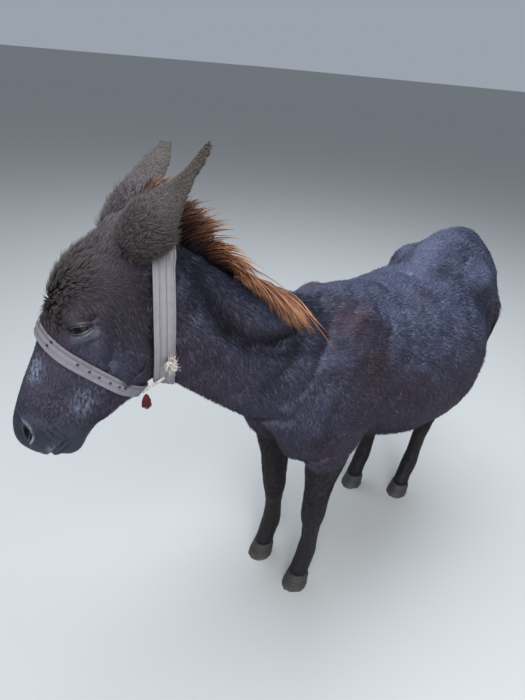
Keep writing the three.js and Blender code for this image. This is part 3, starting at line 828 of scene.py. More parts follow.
@dataclass(frozen=True)
class Face:
    """The small forms of the head's skin."""

    head: Head

    @staticmethod
    def cheek(u: Array, v: Array, w: Array) -> Array:
        """Millimetres raised by the cheekbone, the jaw's round edge and the hollows beside them."""
        aside = ease(np.abs(w), 22, 50) * ease(u, 345, 290)
        bone = np.abs((v + 62.0) + 0.50 * (u - 150.0))
        ridge = 4.0 * bell(bone, 11.0) * ease(u, 95, 130) * ease(u, 285, 235)
        under = -3.0 * bell(v + 90.0 + 0.42 * (u - 200.0), 12.0) * ease(u, 150, 190)
        edge = v + 78.0 + 0.80 * (u - 70.0)
        fold = -5.0 * bell(edge + 16.0, 9.0) + 3.0 * bell(edge - 6.0, 12.0)
        jaw = fold * ease(u, 50, 80) * ease(u, 235, 190)
        temple = -3.5 * blob(np.column_stack([u, v]), (98.0, -22.0), (22.0, 16.0))
        return (ridge + under * ease(u, 330, 280) + jaw + temple) * aside

    def shape(self, form: Form) -> None:
        """Models lids, nostrils, lips and folds into the skin."""
        normals = form.normals()
        u, v, w = self.head.read(form.points).T
        lips = Mouth.offset(u, v)
        groove = 5.0 * bell(lips, 2.8) * ease(u, 366, 384)
        lower = 2.8 * bell(lips + 9.0, 5.0) * ease(u, 380, 395)
        upper = 1.2 * bell(lips - 8.0, 4.5) * ease(u, 372, 390)
        folds = 0.9 * np.sin((u * 0.8 + v * 0.55) * 0.62) * blob(
            np.column_stack([u, v]), (366.0, -92.0), (16.0, 20.0)
        )
        cheek = self.cheek(u, v, w)
        rise = lower + upper + folds + cheek - groove
        form.points = form.points + normals * (rise * 0.001)[:, None]
        for side in SIDES:
            form.points = Nostril(self.head, side).shape(form.points, form.normals())
            form.points = Eyelids(self.head, side).shape(form.points)


@dataclass(frozen=True)
class Crease:
    """A soft crease along a line on the body's sides, as rows of x and z."""

    line: tuple[tuple[float, float], ...]
    deep: float
    wide: float

    def share(self, points: Array) -> Array:
        """1 on the crease, less beside it."""
        flat = points[:, [0, 2]]
        near = np.full(len(flat), 9.0)
        for first, last in zip(self.line, self.line[1:]):
            start, run = np.array(first), np.array(last) - np.array(first)
            along = np.clip((flat - start) @ run / (run @ run), 0.0, 1.0)
            near = np.minimum(near, np.linalg.norm(flat - start - along[:, None] * run, axis=1))
        return bell(near, self.wide)


@dataclass(frozen=True)
class Folds:
    """The soft folds where the neck turns into the shoulder."""

    creases: tuple[Crease, ...] = (
        Crease(((-0.55, 1.17), (-0.52, 1.10), (-0.48, 1.01), (-0.435, 0.97), (-0.36, 0.952)), 0.0105, 0.026),
        Crease(((-0.36, 0.952), (-0.29, 0.975), (-0.26, 1.02)), 0.0100, 0.026),
        Crease(((-0.198, 1.015), (-0.228, 0.98), (-0.250, 0.92)), 0.0060, 0.024),
        Crease(((-0.315, 0.935), (-0.355, 0.89), (-0.40, 0.86)), 0.0040, 0.024),
        Crease(((-0.235, 0.75), (-0.262, 0.70), (-0.295, 0.675)), 0.0035, 0.028),
        Crease(((0.50, 0.86), (0.47, 0.76), (0.41, 0.70)), 0.0055, 0.038),
        Crease(((0.36, 0.95), (0.42, 0.90), (0.47, 0.86)), 0.0035, 0.032),
    )
    ridges: tuple[Crease, ...] = (
        Crease(((-0.50, 1.08), (-0.44, 1.02), (-0.35, 1.00)), 0.0045, 0.034),
        Crease(((-0.250, 0.96), (-0.260, 0.91), (-0.300, 0.86)), 0.0040, 0.032),
    )

    def depth(self, points: Array, lines: tuple[Crease, ...]) -> Array:
        """Metres sunk or raised by some lines."""
        return sum(line.deep * line.share(points) for line in lines)

    def shape(self, form: Form, marks: dict[str, Array]) -> None:
        """Models the folds into the skin."""
        points, normals = form.points, form.normals()
        aside = ease(np.abs(normals[:, 1]), 0.15, 0.55) * np.clip(marks["neck"] + marks["trunk"], 0.0, 1.0)
        rise = self.depth(points, self.ridges) - self.depth(points, self.creases)
        rise += 0.0012 * Ripple(0.07, 23)(points)
        form.points = points + normals * (rise * aside)[:, None]

    def dusk(self, form: Form) -> Array:
        """Painted shade: how deep in a crease each point lies, from 0 to 1."""
        sunk = self.depth(form.points, self.creases) / 0.0085
        return np.clip(sunk, 0.0, 1.0) * ease(np.abs(form.normals()[:, 1]), 0.1, 0.45)


# ---------------------------------------------------------------- markings, lie and length of the coat
EAR_FACINGS = {"left": (0.88, -0.35, 0.0), "right": (0.75, 0.5, -0.3)}
EAR_LINES = {"left": ((-12, -30, -47), (-194, -36, -114)), "right": ((4, -14, 47), (-162, -10, 157))}


@dataclass
class Pelt:
    """What the coat is like at each point of the skin."""

    head: Head
    form: Form
    parts: dict[str, Array]
    marks: dict[str, Array] = field(default_factory=dict)
    depth: Array = field(init=False)  # how deep the skin lies inside the coat
    length: Array = field(init=False)
    width: Array = field(init=False)
    lift: Array = field(init=False)
    flow: Array = field(init=False)
    cover: Array = field(init=False)  # tufts for the same area, against the body's

    def __post_init__(self) -> None:
        """Reads the skin's places once."""
        self.u, self.v, self.w = self.head.read(self.form.points).T
        self.x, self.y, self.z = self.form.points.T
        parts = self.parts
        self.legs = sum(parts[f"leg_{leg}"] for leg in LEGS)
        self.ears = parts["ear_left"] + parts["ear_right"]
        self.face = parts["head"]
        self.plain = 1.0 - np.clip(self.face + self.ears + self.legs, 0.0, 1.0)
        self._zones()

    def _zones(self) -> None:
        """Soft zones of the head and body."""
        u, v, w = self.u, self.v, self.w
        self.muzzle = self.face * ease(u - 0.25 * (v + 60), 300, 385)
        self.brow = self.face * ease(v, -30, 25) * ease(u, 236, 165) * ease(np.abs(w), 82, 50)
        self.bridge = self.face * ease(v, -60, -25) * ease(u, 190, 250) * (1.0 - self.muzzle)
        self.jaw = self.face * ease(v + 0.55 * (u - 250), -85, -125) * ease(u, 330, 290)
        self.belly = self.parts["trunk"] * ease(self.z, 0.62, 0.50) * ease(self.x, -0.22, -0.10)
        self.socket = self.face * 0.0
        for side in SIDES:
            lids = Eyelids(self.head, side)
            far, along, across = lids.polar(self.form.points)
            close = ease(far, 46, 24) * ease(lids.outside(along, across), 22, 6)
            self.socket = np.maximum(self.socket, close)

    def blend(self, base: float, *layers: tuple[Array, float]) -> Array:
        """A value laid over by others, each by its zone's share."""
        value = np.full(len(self.x), base)
        for share, level in layers:
            value = value + (level - value) * np.clip(share, 0.0, 1.0)
        return value

    def measure(self) -> None:
        """Sets the coat's depth, length, width and lift, in metres."""
        face, muzzle, brow, jaw = self.face, self.muzzle, self.brow, self.jaw
        low = self.legs * ease(self.z, 0.40, 0.25)
        dock = self.parts["tail"]
        self.depth = self.blend(0.0070, (self.parts["neck"], 0.0080), (self.belly, 0.0085), (face, 0.0048),
                                (self.bridge, 0.0030), (brow, 0.0105), (jaw, 0.0070), (muzzle, 0.0013),
                                (self.socket, 0.0008), (self.legs, 0.0045), (low, 0.0030),
                                (self.ears, 0.0022), (dock, 0.0070))
        self.length = self.blend(0.024, (self.parts["neck"], 0.024), (self.belly, 0.034), (face, 0.013),
                                 (self.bridge, 0.009), (brow, 0.034), (jaw, 0.022), (muzzle, 0.0060),
                                 (self.socket, 0.0060), (self.legs, 0.016), (low, 0.011),
                                 (self.ears, 0.010), (dock, 0.036))
        self.width = self.blend(0.0029, (face, 0.0018), (brow, 0.0019), (self.bridge, 0.0016),
                                (muzzle, 0.0011), (self.socket, 0.0010), (self.legs, 0.0024), (low, 0.0019),
                                (self.ears, 0.0016))
        self.lift = self.blend(0.23, (self.belly, 0.22), (face, 0.26), (brow, 0.42), (jaw, 0.32),
                               (muzzle, 0.24), (self.legs, 0.22), (self.ears, 0.46))
        self.cover = self.blend(1.0, (face, 3.2), (self.bridge, 3.6), (muzzle, 3.4), (self.socket, 4.0),
                                (self.ears, 3.2), (self.legs, 1.5), (low, 2.2))
        self.cover = np.clip(self.cover, 0.0, 9.0)
        for side in SIDES:
            lids = Eyelids(self.head, side)
            far, along, across = lids.polar(self.form.points)
            open_eye = (far < 30) & (lids.outside(along, across) < 0.6)
            inside = Nostril(self.head, side).measure(self.form.points)[0] < 1.0
            self.cover[open_eye | inside] = 0.0
        lips = np.abs(Mouth.offset(self.u, self.v)) < 2.0
        self.cover[lips & (self.face > 0.5)] = 0.0
        for key in ("depth", "length", "width", "lift"):
            setattr(self, key, self.form.spread(getattr(self, key), 5))

    def inset(self) -> None:
        """Moves the skin inward by the coat's depth."""
        self.form.points = self.form.points - self.form.normals() * self.depth[:, None]

    def _head_flow(self) -> Array:
        """The lie of the hair on the head, from a whorl between the eyes."""
        u, v, w = self.u, self.v, self.w
        count = len(u)
        cheek = columns(count, 0.35, -0.95, 0.0)
        nose = columns(count, 0.9, -0.15, w * 0.006)
        chin = columns(count, 0.25, -0.8, w * 0.002)
        poll = columns(count, -0.9, -0.2, w * 0.004)
        side = ease(np.abs(w), 35, 70) * ease(v, 10, -30)
        ways = unit(columns(count, u - 165.0, 0.0, w * 1.3))
        ways = lay(ways, nose, ease(u, 210, 290) * ease(v, -95, -50))
        ways = lay(ways, cheek, side * ease(u, 330, 250))
        ways = lay(ways, chin, ease(u, 290, 350) * ease(v, -70, -100))
        ways = lay(ways, poll, ease(u, 105, 55) * ease(v, -60, -30))
        return ways @ self.head.axes

    def comb(self) -> None:
        """Sets the lie of the hair all over."""
        x, y = self.x, self.y
        rump = ease(x, 0.45, 0.72)
        fall = ease(np.abs(y), 0.06, 0.24)
        count = len(x)
        trunk = columns(count, 0.62 - 0.30 * rump, 0.0, -0.20 - 0.65 * rump - 0.62 * fall)
        trunk = lay(trunk, columns(count, 0.9, -0.3 * np.sign(y), -0.25), self.belly)
        neck = columns(count, 0.42, 0.0, -0.88)
        leg = columns(count, 0.12, 0.0, -1.0)
        tail = columns(count, 0.2, 0.0, -1.0)
        flow = trunk * self.parts["trunk"][:, None] + neck * self.parts["neck"][:, None]
        flow += leg * self.legs[:, None] + tail * self.parts["tail"][:, None]
        for side, (root, tip) in EAR_LINES.items():
            way = unit(self.head.at(*tip) - self.head.at(*root))
            flow += way * self.parts[f"ear_{side}"][:, None]
        flow = self.form.spread(flow, 60)
        head = self.form.spread(self._head_flow(), 4)
        flow = flow * (1.0 - self.face)[:, None] + unit(head) * self.face[:, None]
        flow = self.form.spread(flow, 3)
        sway = Ripple(0.11, 5)(self.form.points)
        normals = self.form.normals()
        flow = unit(flow - normals * (flow * normals).sum(axis=1, keepdims=True))
        side = np.cross(normals, flow)
        self.flow = unit(flow + side * (0.22 * sway + 0.10 * Ripple(0.035, 6)(self.form.points))[:, None])

    def _ear_run(self, side: str) -> Array:
        """Places along an ear, from 0 at its root to 1 at its tip."""
        root, tip = (self.head.at(*place) for place in EAR_LINES[side])
        return (self.form.points - root) @ (tip - root) / ((tip - root) @ (tip - root))

    def _ear_light(self) -> Array:
        """How pale each ear's hair is: dark at its root, paler upwards."""
        return sum(self.parts[f"ear_{side}"] * (0.80 + 0.20 * ease(self._ear_run(side), 0.1, 0.75))
                   for side in EAR_LINES)

    def _lining(self) -> Array:
        """The brown hair inside the ears and between them."""
        normals = self.form.normals()
        share = np.zeros(len(self.x))
        for side, facing in EAR_FACINGS.items():
            inner = ease(normals @ unit(np.array(facing)), 0.1, 0.6) * self.parts[f"ear_{side}"]
            share = np.maximum(share, inner * ease(self._ear_run(side), 0.80, 0.35))
        return share

    def paint(self) -> None:
        """Sets the markings that skin and coat share, among them a painted sky sheen, a painted sky
        reflection and painted shade.
        """
        points, x, y, z = self.form.points, self.x, self.y, self.z
        u, v, w = self.u, self.v, self.w
        patch = Ripple(0.16, 11)(points)
        mirrored = np.column_stack([x, np.abs(y), z])
        flat = np.column_stack([u, v, np.abs(w)])
        shoulder = blob(mirrored, (-0.160, 0.085, 0.975), (0.070, 0.09, 0.075))
        shoulder = np.maximum(shoulder, 0.55 * blob(mirrored, (-0.10, 0.16, 0.87), (0.06, 0.09, 0.07)))
        shoulder = np.maximum(shoulder, 0.7 * blob(mirrored, (-0.25, 0.13, 0.80), (0.05, 0.08, 0.07)))
        flank = ease(z, 0.60, 0.50) * ease(np.abs(x - 0.25), 0.45, 0.25)
        jowl = self.face * ease(np.abs(v + 65.0 + 0.84 * (u - 55.0)), 13, 4)
        jowl = jowl * ease(u, 235, 200) * ease(u, 30, 70)
        brown = self.face * blob(flat, (118, -18, 62), (28, 20, 26))
        rust = 0.75 * jowl + 0.55 * brown
        rust = rust + self.plain * (0.95 * shoulder + 0.35 * flank + 0.25 * ease(patch, 0.3, 1.5))
        # painted sky reflection: bluish-white patches on the nose bridge, the cheek and the upper lip
        sheen = self.face * (
            1.0 * blob(flat, (276, -4, 30), (24, 14, 15)) + 0.75 * blob(flat, (282, -104, 42), (30, 20, 26))
            + 0.25 * blob(flat, (402, -98, 34), (12, 9, 22))
        )
        pale, pouch, lid, hollow = (0.0 * u for _ in range(4))
        for side in SIDES:
            out, across = Nostril(self.head, side).measure(points)
            pale = np.maximum(pale, bell(out - 1.22, 0.20) * ease(across, -0.5, -3.5))
            # painted shade inside the nostril
            hollow = np.maximum(hollow, ease(out, 1.05, 0.7))
            lids = Eyelids(self.head, side)
            far, along, across = lids.polar(points)
            edge = lids.outside(along, across)
            near = ease(far, 48, 38) * ease(np.abs(along), 86, 56)
            below = ease(edge, 1.0, 3.0) * ease(edge, 17.0, 6.0) * near * ease(across, -3, -14)
            pouch = np.maximum(pouch, below)
            lid = np.maximum(lid, ease(edge, 4.0, 1.5) * near)
        lips = Mouth.offset(u, v)
        pale = np.maximum(pale, 0.35 * bell(lips - 5.0, 4.0) * ease(u, 388, 402))
        # painted sky sheen: lighter bluish coat on upward faces, weaker on the rusty shoulder, and on the
        # rump's near side, the lower neck and the cheek
        up = self.form.normals()[:, 2]
        streak = 0.5 + 0.5 * Ripple(0.09, 14)(points * (1.0, 1.0, 0.45))
        top = self.plain * ease(up, 0.05, 0.80) * (0.8 + 0.2 * streak)
        top *= 1.0 - 0.7 * shoulder
        top += self.plain * 0.45 * blob(points, (0.55, -0.17, 0.90), (0.16, 0.12, 0.10))
        top += self.plain * 0.50 * blob(points, (-0.34, -0.10, 0.79), (0.13, 0.14, 0.14))
        top += self.face * 0.40 * blob(flat, (185, -90, 55), (70, 45, 35))
        # painted shade: in the neck's creases and the shoulder's front fold, on downward faces, under the
        # mane, behind the jaw, at the crown and behind the nostrils
        dusk = Folds().dusk(self.form) * 0.85
        dusk = np.maximum(dusk, self.plain * ease(up, -0.25, -0.80) * 0.8)
        under_mane = blob(points, (-0.50, 0.03, 1.12), (0.10, 0.12, 0.07))
        dusk = np.maximum(dusk, 0.75 * np.clip(self.parts["neck"] + self.face, 0, 1) * under_mane)
        dusk = np.maximum(dusk, self.plain * 0.8 * blob(points, (-0.232, -0.06, 0.970), (0.030, 0.1, 0.055)))
        behind = self.face * ease(v + 78.0 + 0.80 * (u - 70.0), -4, -26) * ease(u, 235, 200)
        dusk = np.maximum(dusk, 0.7 * behind)
        crown = self.face * blob(flat, (128, 4, 38), (26, 24, 28))
        dusk = np.maximum(dusk, 0.8 * crown)
        dusk = np.maximum(dusk, 0.6 * self.face * blob(flat, (374, -68, 52), (13, 18, 20)))
        self.marks = {
            "rust": rust, "sheen": sheen, "pale": pale, "pouch": pouch, "hollow": hollow, "lid": lid,
            "top": np.clip(top, 0.0, 1.0), "dusk": np.clip(dusk, 0.0, 1.0),
            "muzzle": self.muzzle, "brow": self.brow + 0.5 * self.face * ease(u, 200, 120) * (1 - self.brow),
            "ear": self._ear_light(), "leg": self.legs, "lining": self._lining(),
        }


# ---------------------------------------------------------------- tufts
@dataclass
class Roots:
    """Where tufts stand and how each one lies."""

    place: Array
    normal: Array
    flow: Array
    length: Array
    width: Array
    lift: Array
    unwrap: Array
    marks: dict[str, Array]


class Lie(Enum):
    """How tufts of a coat gather."""

    EVEN = 0.0
    GATHERED = 0.20
    SHAGGY = 0.55


@dataclass
class Tufts:
    """Three-sided pointed tufts over a stretch of skin."""

    rings: int = 1  # rings of points below the tip; one gives a straight tuft
    lie: Lie = Lie.GATHERED
    droop: float = 0.12
    sink: float = 0.0012
    clump: int = 9  # tufts that share a tip
    flat: float = 0.32  # thickness against width
    seed: int = 1

    def paths(self, roots: Roots) -> Array:
        """Centre lines, as places at each ring and at the tip, shape (tufts, rings + 1, 3)."""
        random = np.random.default_rng(self.seed)
        count = len(roots.place)
        long = roots.length * random.uniform(0.72, 1.18, count)
        side = np.cross(roots.normal, roots.flow)
        sway = random.normal(0.0, 0.10, count)
        lift = np.maximum(roots.lift * random.uniform(0.55, 1.35, count), 0.05)
        steps = np.linspace(0.0, 1.0, self.rings + 1)
        lines = []
        for t in steps:
            ahead = roots.flow * (long * t)[:, None]
            rise = long * (lift * t * (1.0 + self.droop) - lift * self.droop * t * t * 1.6)
            off = roots.normal * (rise - self.sink)[:, None]
            lines.append(roots.place + ahead + off + side * (long * sway * t * t)[:, None])
        lines = np.stack(lines, axis=1)
        return self._gather(roots, lines)

    def _gather(self, roots: Roots, lines: Array) -> Array:
        """Draws the tips of neighbours towards a common tip."""
        share = self.lie.value
        if share <= 0.0 or len(lines) < self.clump * 3:
            return lines
        random = np.random.default_rng(self.seed + 70)
        middle = random.choice(len(lines), len(lines) // self.clump, replace=False)
        tree = KDTree(len(middle))
        for k, index in enumerate(middle):
            tree.insert(roots.place[index], k)
        tree.balance()
        owner = np.array([middle[tree.find(place)[1]] for place in roots.place])
        shift = lines[owner, -1] - lines[:, -1]
        far = np.linalg.norm(shift, axis=1, keepdims=True)
        limit = 0.45 * roots.length[:, None]
        shift = shift * np.minimum(limit / np.maximum(far, 1e-9), 1.0)
        steps = np.linspace(0.0, 1.0, lines.shape[1]) ** 2
        return lines + share * steps[None, :, None] * shift[:, None, :]

    def mesh(self, name: str, roots: Roots) -> bpy.types.Object:
        """Builds the tufts as one piece, with their map and markings."""
        lines = self.paths(roots)
        count, rings = len(lines), self.rings
        along = unit(lines[:, 1:] - lines[:, :-1])
        side = unit(np.cross(roots.normal, along[:, 0]))
        above = unit(np.cross(along[:, 0], side))
        points = np.empty((count, 3 * rings + 1, 3))
        for ring in range(rings):
            t = ring / rings
            half = roots.width[:, None] * 0.5 * (1.0 - 0.35 * t)
            thick = half * self.flat * 2.0
            points[:, ring * 3] = lines[:, ring] - side * half
            points[:, ring * 3 + 1] = lines[:, ring] + side * half
            points[:, ring * 3 + 2] = lines[:, ring] + above * thick
        points[:, -1] = lines[:, -1]
        shade = np.random.default_rng(self.seed + 5).uniform(0.0, 1.0, count)
        return strands_object(name, points, rings, 0.14, roots.unwrap, shade, roots.marks)


def strand_faces(rings: int) -> Array:
    """Triangles of one three-sided strand.

    Args:
        rings: Rings of points below its tip.

    Returns:
        Point numbers, three for each triangle.
    """
    faces = [(0, 2, 1)]
    for ring in range(rings - 1):
        low, high = ring * 3, ring * 3 + 3
        for k in range(3):
            a, b = low + k, low + (k + 1) % 3
            c, d = high + (k + 1) % 3, high + k
            faces += [(a, b, c), (a, c, d)]
    last, tip = rings * 3 - 3, rings * 3
    faces += [(last + k, last + (k + 1) % 3, tip) for k in range(3)]
    return np.array(faces)


def strands_object(
    name: str, points: Array, rings: int, ridge: float, unwrap: Array, shade: Array, marks: dict[str, Array]
) -> bpy.types.Object:
    """Makes one piece of many strands, with their map and markings.

    Args:
        name: The piece's name.
        points: Places, shape (strands, 3 * rings + 1, 3).
        rings: Rings of points below each tip.
        ridge: How high a ring's third point lies on the patch.
        unwrap: Each strand's place on the map.
        shade: Each strand's own shade.
        marks: Other values for each strand.

    Returns:
        The piece.
    """
    count, per = points.shape[:2]
    faces = strand_faces(rings)
    corners = (faces.ravel()[None, :] + (np.arange(count) * per)[:, None]).ravel()
    rows = [(x, ring / rings * 0.8 + y) for ring in range(rings)
            for x, y in ((0.1, 0.0), (0.9, 0.0), (0.5, ridge))]
    patch = ((np.array(rows + [(0.5, 1.0)]) - 0.5) * PATCH)[faces.ravel()]
    places = (unwrap[:, None, :] + patch[None]).reshape(-1, 2)
    tips = np.array([ring / rings for ring in range(rings) for _ in range(3)] + [1.0])
    values = {key: np.repeat(value, per) for key, value in marks.items()}
    values["tip"] = np.tile(tips, count)
    values["shade"] = np.repeat(shade, per)
    sizes = np.full(count * len(faces), 3)
    return new_object(name, points.reshape(-1, 3), corners, sizes, values, {"OFBake": places})


def around(points: Array, start: Array, way: Array) -> Array:
    """An unwrap round an axis: the angle about it and the distance along it, from 0.01 to 0.99.

    Args:
        points: Places to unwrap.
        start: A place on the axis.
        way: The axis's direction.

    Returns:
        Map places, one in each row.
    """
    way = unit(way)
    first = unit(np.cross(way, (0.31, 0.93, 0.2)))
    second = np.cross(way, first)
    local = points - start
    angle = np.arctan2(local @ first, local @ second) / (TURN) + 0.5
    run = local @ way
    run = (run - run.min()) / max(run.max() - run.min(), 1e-9)
    return 0.01 + 0.98 * np.column_stack([angle, run])


@dataclass
class Patch:
    """A stretch of coat: its piece's name, where it grows, and its tufts."""

    name: str
    zone: Array  # share of each point of the skin
    count: int
    tufts: Tufts
    start: Array
    way: Array
    long: float = 1.0
    wide: float = 1.0
    raised: float = 1.0


@dataclass
class Coat:
    """All the fur that stands on the skin."""

    pelt: Pelt
    front: tuple[float, float] = (0.09, 0.07)  # metres along the body where shoulders end
    back: tuple[float, float] = (0.43, 0.45)  # and where the rump begins

    def roots(self, patch: Patch) -> Roots:
        """Spreads roots over a patch, closer where the cover is closer."""
        form, pelt = self.pelt.form, self.pelt
        random = np.random.default_rng(patch.tufts.seed + 900)
        a, b, c = (form.points[form.faces[:, k]] for k in range(3))
        area = np.linalg.norm(np.cross(b - a, c - a), axis=1)
        weight = area * (pelt.cover * patch.zone)[form.faces].mean(axis=1)
        weight[(pelt.cover[form.faces] <= 0.0).any(axis=1)] = 0.0
        weight[patch.zone[form.faces].mean(axis=1) < 0.02] = 0.0
        edges = np.cumsum(weight)
        even = (np.arange(patch.count) + random.uniform(0.0, 1.0, patch.count)) / patch.count
        chosen = np.minimum(np.searchsorted(edges, even * edges[-1]), len(weight) - 1)
        first, second = random.uniform(0.0, 1.0, (2, patch.count))
        turn = first + second > 1.0
        first, second = np.where(turn, 1.0 - first, first), np.where(turn, 1.0 - second, second)
        shares = np.column_stack([1.0 - first - second, first, second])
        corners = form.faces[chosen]

        def read(values: Array) -> Array:
            """Values at the roots."""
            taken = values[corners]
            return np.einsum("nk,nk...->n...", shares, taken)

        normals = unit(read(form.normals()))
        flow = read(pelt.flow)
        flow = unit(flow - normals * (flow * normals).sum(axis=1, keepdims=True))
        place = read(form.points)
        marks = {key: read(values) for key, values in pelt.marks.items()}
        return Roots(place, normals, flow, read(pelt.length) * patch.long, read(pelt.width) * patch.wide,
                     read(pelt.lift) * patch.raised, around(place, patch.start, patch.way), marks)

    def grow(self, patches: Iterable[Patch], material: Material) -> None:
        """Builds the pieces of the coat."""
        for patch in patches:
            obj = patch.tufts.mesh(patch.name, self.roots(patch))
            dress(obj, material, "coat")

    def patches(self) -> list[Patch]:
        """The stretches of the coat over the whole body."""
        pelt, head = self.pelt, self.pelt.head
        parts, x = pelt.parts, pelt.x
        trunk = parts["trunk"] + parts["tail"]
        front, back = ease(x, *self.front), ease(x, *self.back)
        fore, rear = trunk * front, trunk * back
        middle = trunk * (1.0 - front) * (1.0 - back)
        down_face = head.axes[0]
        spine = np.array([1.0, 0.0, 0.0])
        spine_at = np.array([0.0, 0.0, 0.80])
        neck_way = np.array([0.8, 0.0, -0.6])
        body = Tufts(1, Lie.GATHERED)
        patches = [
            Patch("coat_shoulders", fore, 41_000, body, spine_at, spine),
            Patch("coat_barrel", middle, 42_000, body, spine_at, spine),
            Patch("coat_rump", rear, 41_000, body, spine_at, spine),
            Patch("coat_neck", parts["neck"], 41_000, body, np.array([-0.4, 0.0, 0.9]), neck_way),
            Patch("coat_head", parts["head"] * (1.0 - 0.9 * pelt.brow), 41_000,
                  Tufts(1, Lie.GATHERED, seed=3), head.at(200, -80, 0), down_face),
            Patch("coat_brow", pelt.brow + 0.45 * pelt.jaw, 13_500,
                  Tufts(2, Lie.SHAGGY, droop=0.25, seed=4), head.at(150, -60, 0), down_face),
            Patch("coat_muzzle", pelt.muzzle + pelt.socket, 17_000, Tufts(1, Lie.EVEN, seed=12),
                  head.at(360, -60, 0), down_face),
            Patch("coat_ears", pelt.ears, 24_000, Tufts(1, Lie.GATHERED, seed=6),
                  np.array([-0.6, 0.1, 1.2]), np.array([0.0, 0.0, 1.0])),
        ]
        for leg in LEGS:
            low, high = box_of(f"leg_{leg}")
            middle_of = (low + high) / 2.0
            patches.append(Patch(f"coat_{leg}", parts[f"leg_{leg}"], 10_000, Tufts(1, Lie.EVEN, seed=8),
                                 middle_of, np.array([0.0, 0.0, 1.0])))
        return patches


# ---------------------------------------------------------------- finishes of the coat
@dataclass(frozen=True)
class CoatFinish:
    """Black-brown hair with a painted bluish sky sheen on upward faces, painted shade, rusty and grey
    places, and paler tips.
    """

    dark: Triple = (0.083, 0.071, 0.104)
    brown: Triple = (0.070, 0.038, 0.042)
    # painted bluish sky sheen on upward faces and a few lit places
    bloom: Triple = (0.110, 0.132, 0.215)
    brow: Triple = (0.068, 0.058, 0.054)
    muzzle: Triple = (0.018, 0.025, 0.040)
    pale: Triple = (0.34, 0.33, 0.35)
    # painted sky reflection on the nose bridge, cheek and upper lip
    frost: Triple = (0.42, 0.50, 0.66)
    pouch: Triple = (0.19, 0.21, 0.26)
    ear: Triple = (0.086, 0.073, 0.062)
    lining: Triple = (0.082, 0.062, 0.052)
    leg: Triple = (0.018, 0.015, 0.018)
    # painted shade: the near-black laid into creases, onto downward faces and under the mane; the lid edges
    # take it too
    dusk: Triple = (0.006, 0.006, 0.009)
    # painted shade inside the nostrils
    wet: Triple = (0.008, 0.007, 0.008)

    def colour(self, finish: Finish) -> Wire:
        """The markings' colour."""
        place = finish.place()
        cloud = finish.noise(place, 6.0, 2.0)
        strand = finish.noise(finish.scaled(place, (1.0, 1.0, 0.30)), 210.0, 3.0)
        colour = finish.mix(cloud.rise(0.36, 0.80) * 0.30, self.dark, self.brown)
        colour = finish.mix((finish.mark("rust") * (cloud * 1.5)).cap(), colour, self.brown)
        # painted sky sheen: lighter bluish coat on upward faces
        colour = finish.mix((finish.mark("top") * 0.72).cap(), colour, self.bloom)
        colour = finish.mix(finish.mark("leg"), colour, self.leg)
        colour = finish.mix((finish.mark("ear") * (0.70 + cloud * 0.5)).cap(), colour, self.ear)
        colour = finish.mix((finish.mark("lining") * 0.9).cap(), colour, self.lining)
        colour = finish.mix((finish.mark("brow") * 0.85).cap(), colour, self.brow)
        colour = finish.mix(finish.mark("muzzle"), colour, self.muzzle)
        # painted shade in creases, on downward faces, under the mane and behind the jaw
        colour = finish.mix(finish.mark("dusk") * 0.88, colour, self.dusk)
        # painted sky reflection: bluish-white patches on the nose bridge, cheek and upper lip
        colour = finish.mix((finish.mark("sheen") * strand.rise(0.38, 0.60)).cap(), colour, self.frost)
        colour = finish.mix((finish.mark("pale") * 0.85).cap(), colour, self.pale)
        colour = finish.mix((finish.mark("pouch") * (0.2 + strand * 1.1)).cap(), colour, self.pouch)
        # the lid edges darkened with the same near-black as the painted shade
        colour = finish.mix(finish.mark("lid") * 0.9, colour, self.dusk)
        # painted shade inside each nostril
        return finish.mix(finish.mark("hollow"), colour, self.wet)

    def skin(self) -> Material:
        """The skin's finish, with short hair as a fine bump."""
        finish = Finish("skin")
        place = finish.place()
        colour = self.colour(finish)
        # painted shade: the bare skin darkened, less on the muzzle, standing for the shadow between the
        # coat's hairs
        colour = finish.times(colour, finish.grey(0.60 + finish.mark("muzzle") * 0.30))
        hair = finish.noise(finish.scaled(place, (1.0, 1.0, 0.35)), 620.0, 2.0)
        return finish.surface(Base_Color=colour, Roughness=0.55, Normal=finish.bump(hair, 0.0006, 0.5),
                              Specular_IOR_Level=0.35)

    def tufts(self) -> Material:
        """The tufts' finish: dark at the root, each a shade of its own."""
        finish = Finish("coat")
        colour = self.colour(finish)
        tip, shade = finish.mark("tip"), finish.mark("shade")
        colour = finish.times(colour, finish.grey(0.66 + shade * 0.26 + tip * 0.36))
        return finish.surface(Base_Color=colour, Roughness=0.6, Specular_IOR_Level=0.10)


# ---------------------------------------------------------------- long hair
@dataclass
class Locks:
    """Long locks, each a bent three-sided strand along a path of its own."""

    rings: int = 5
    seed: int = 1
    flat: float = 0.45

    def mesh(
        self, name: str, lines: Array, width: Array, unwrap: Array, marks: dict[str, Array]
    ) -> bpy.types.Object:
        """Builds locks along their paths.

        Args:
            name: The piece's name.
            lines: Paths, shape (locks, rings + 1, 3).
            width: Each lock's width at its thickest.
            unwrap: Each lock's place on the map.
            marks: Values for each lock.

        Returns:
            The piece.
        """
        count, rings, per = len(lines), self.rings, self.rings * 3 + 1
        random = np.random.default_rng(self.seed + 3)
        along = unit(np.diff(lines, axis=1))
        turn = unit(random.normal(size=(count, 3)))
        points = np.empty((count, per, 3))
        for ring in range(rings):
            t = ring / rings
            side = unit(np.cross(along[:, min(ring, rings - 1)], turn))
            above = np.cross(along[:, min(ring, rings - 1)], side)
            half = (width * 0.5 * (0.65 + 1.1 * t - 1.35 * t * t))[:, None]
            points[:, ring * 3] = lines[:, ring] - side * half
            points[:, ring * 3 + 1] = lines[:, ring] + side * half
            points[:, ring * 3 + 2] = lines[:, ring] + above * half * self.flat * 2.0
        points[:, -1] = lines[:, -1]
        shade = random.uniform(0.0, 1.0, count)
        return strands_object(name, points, rings, 0.06, unwrap, shade, marks)


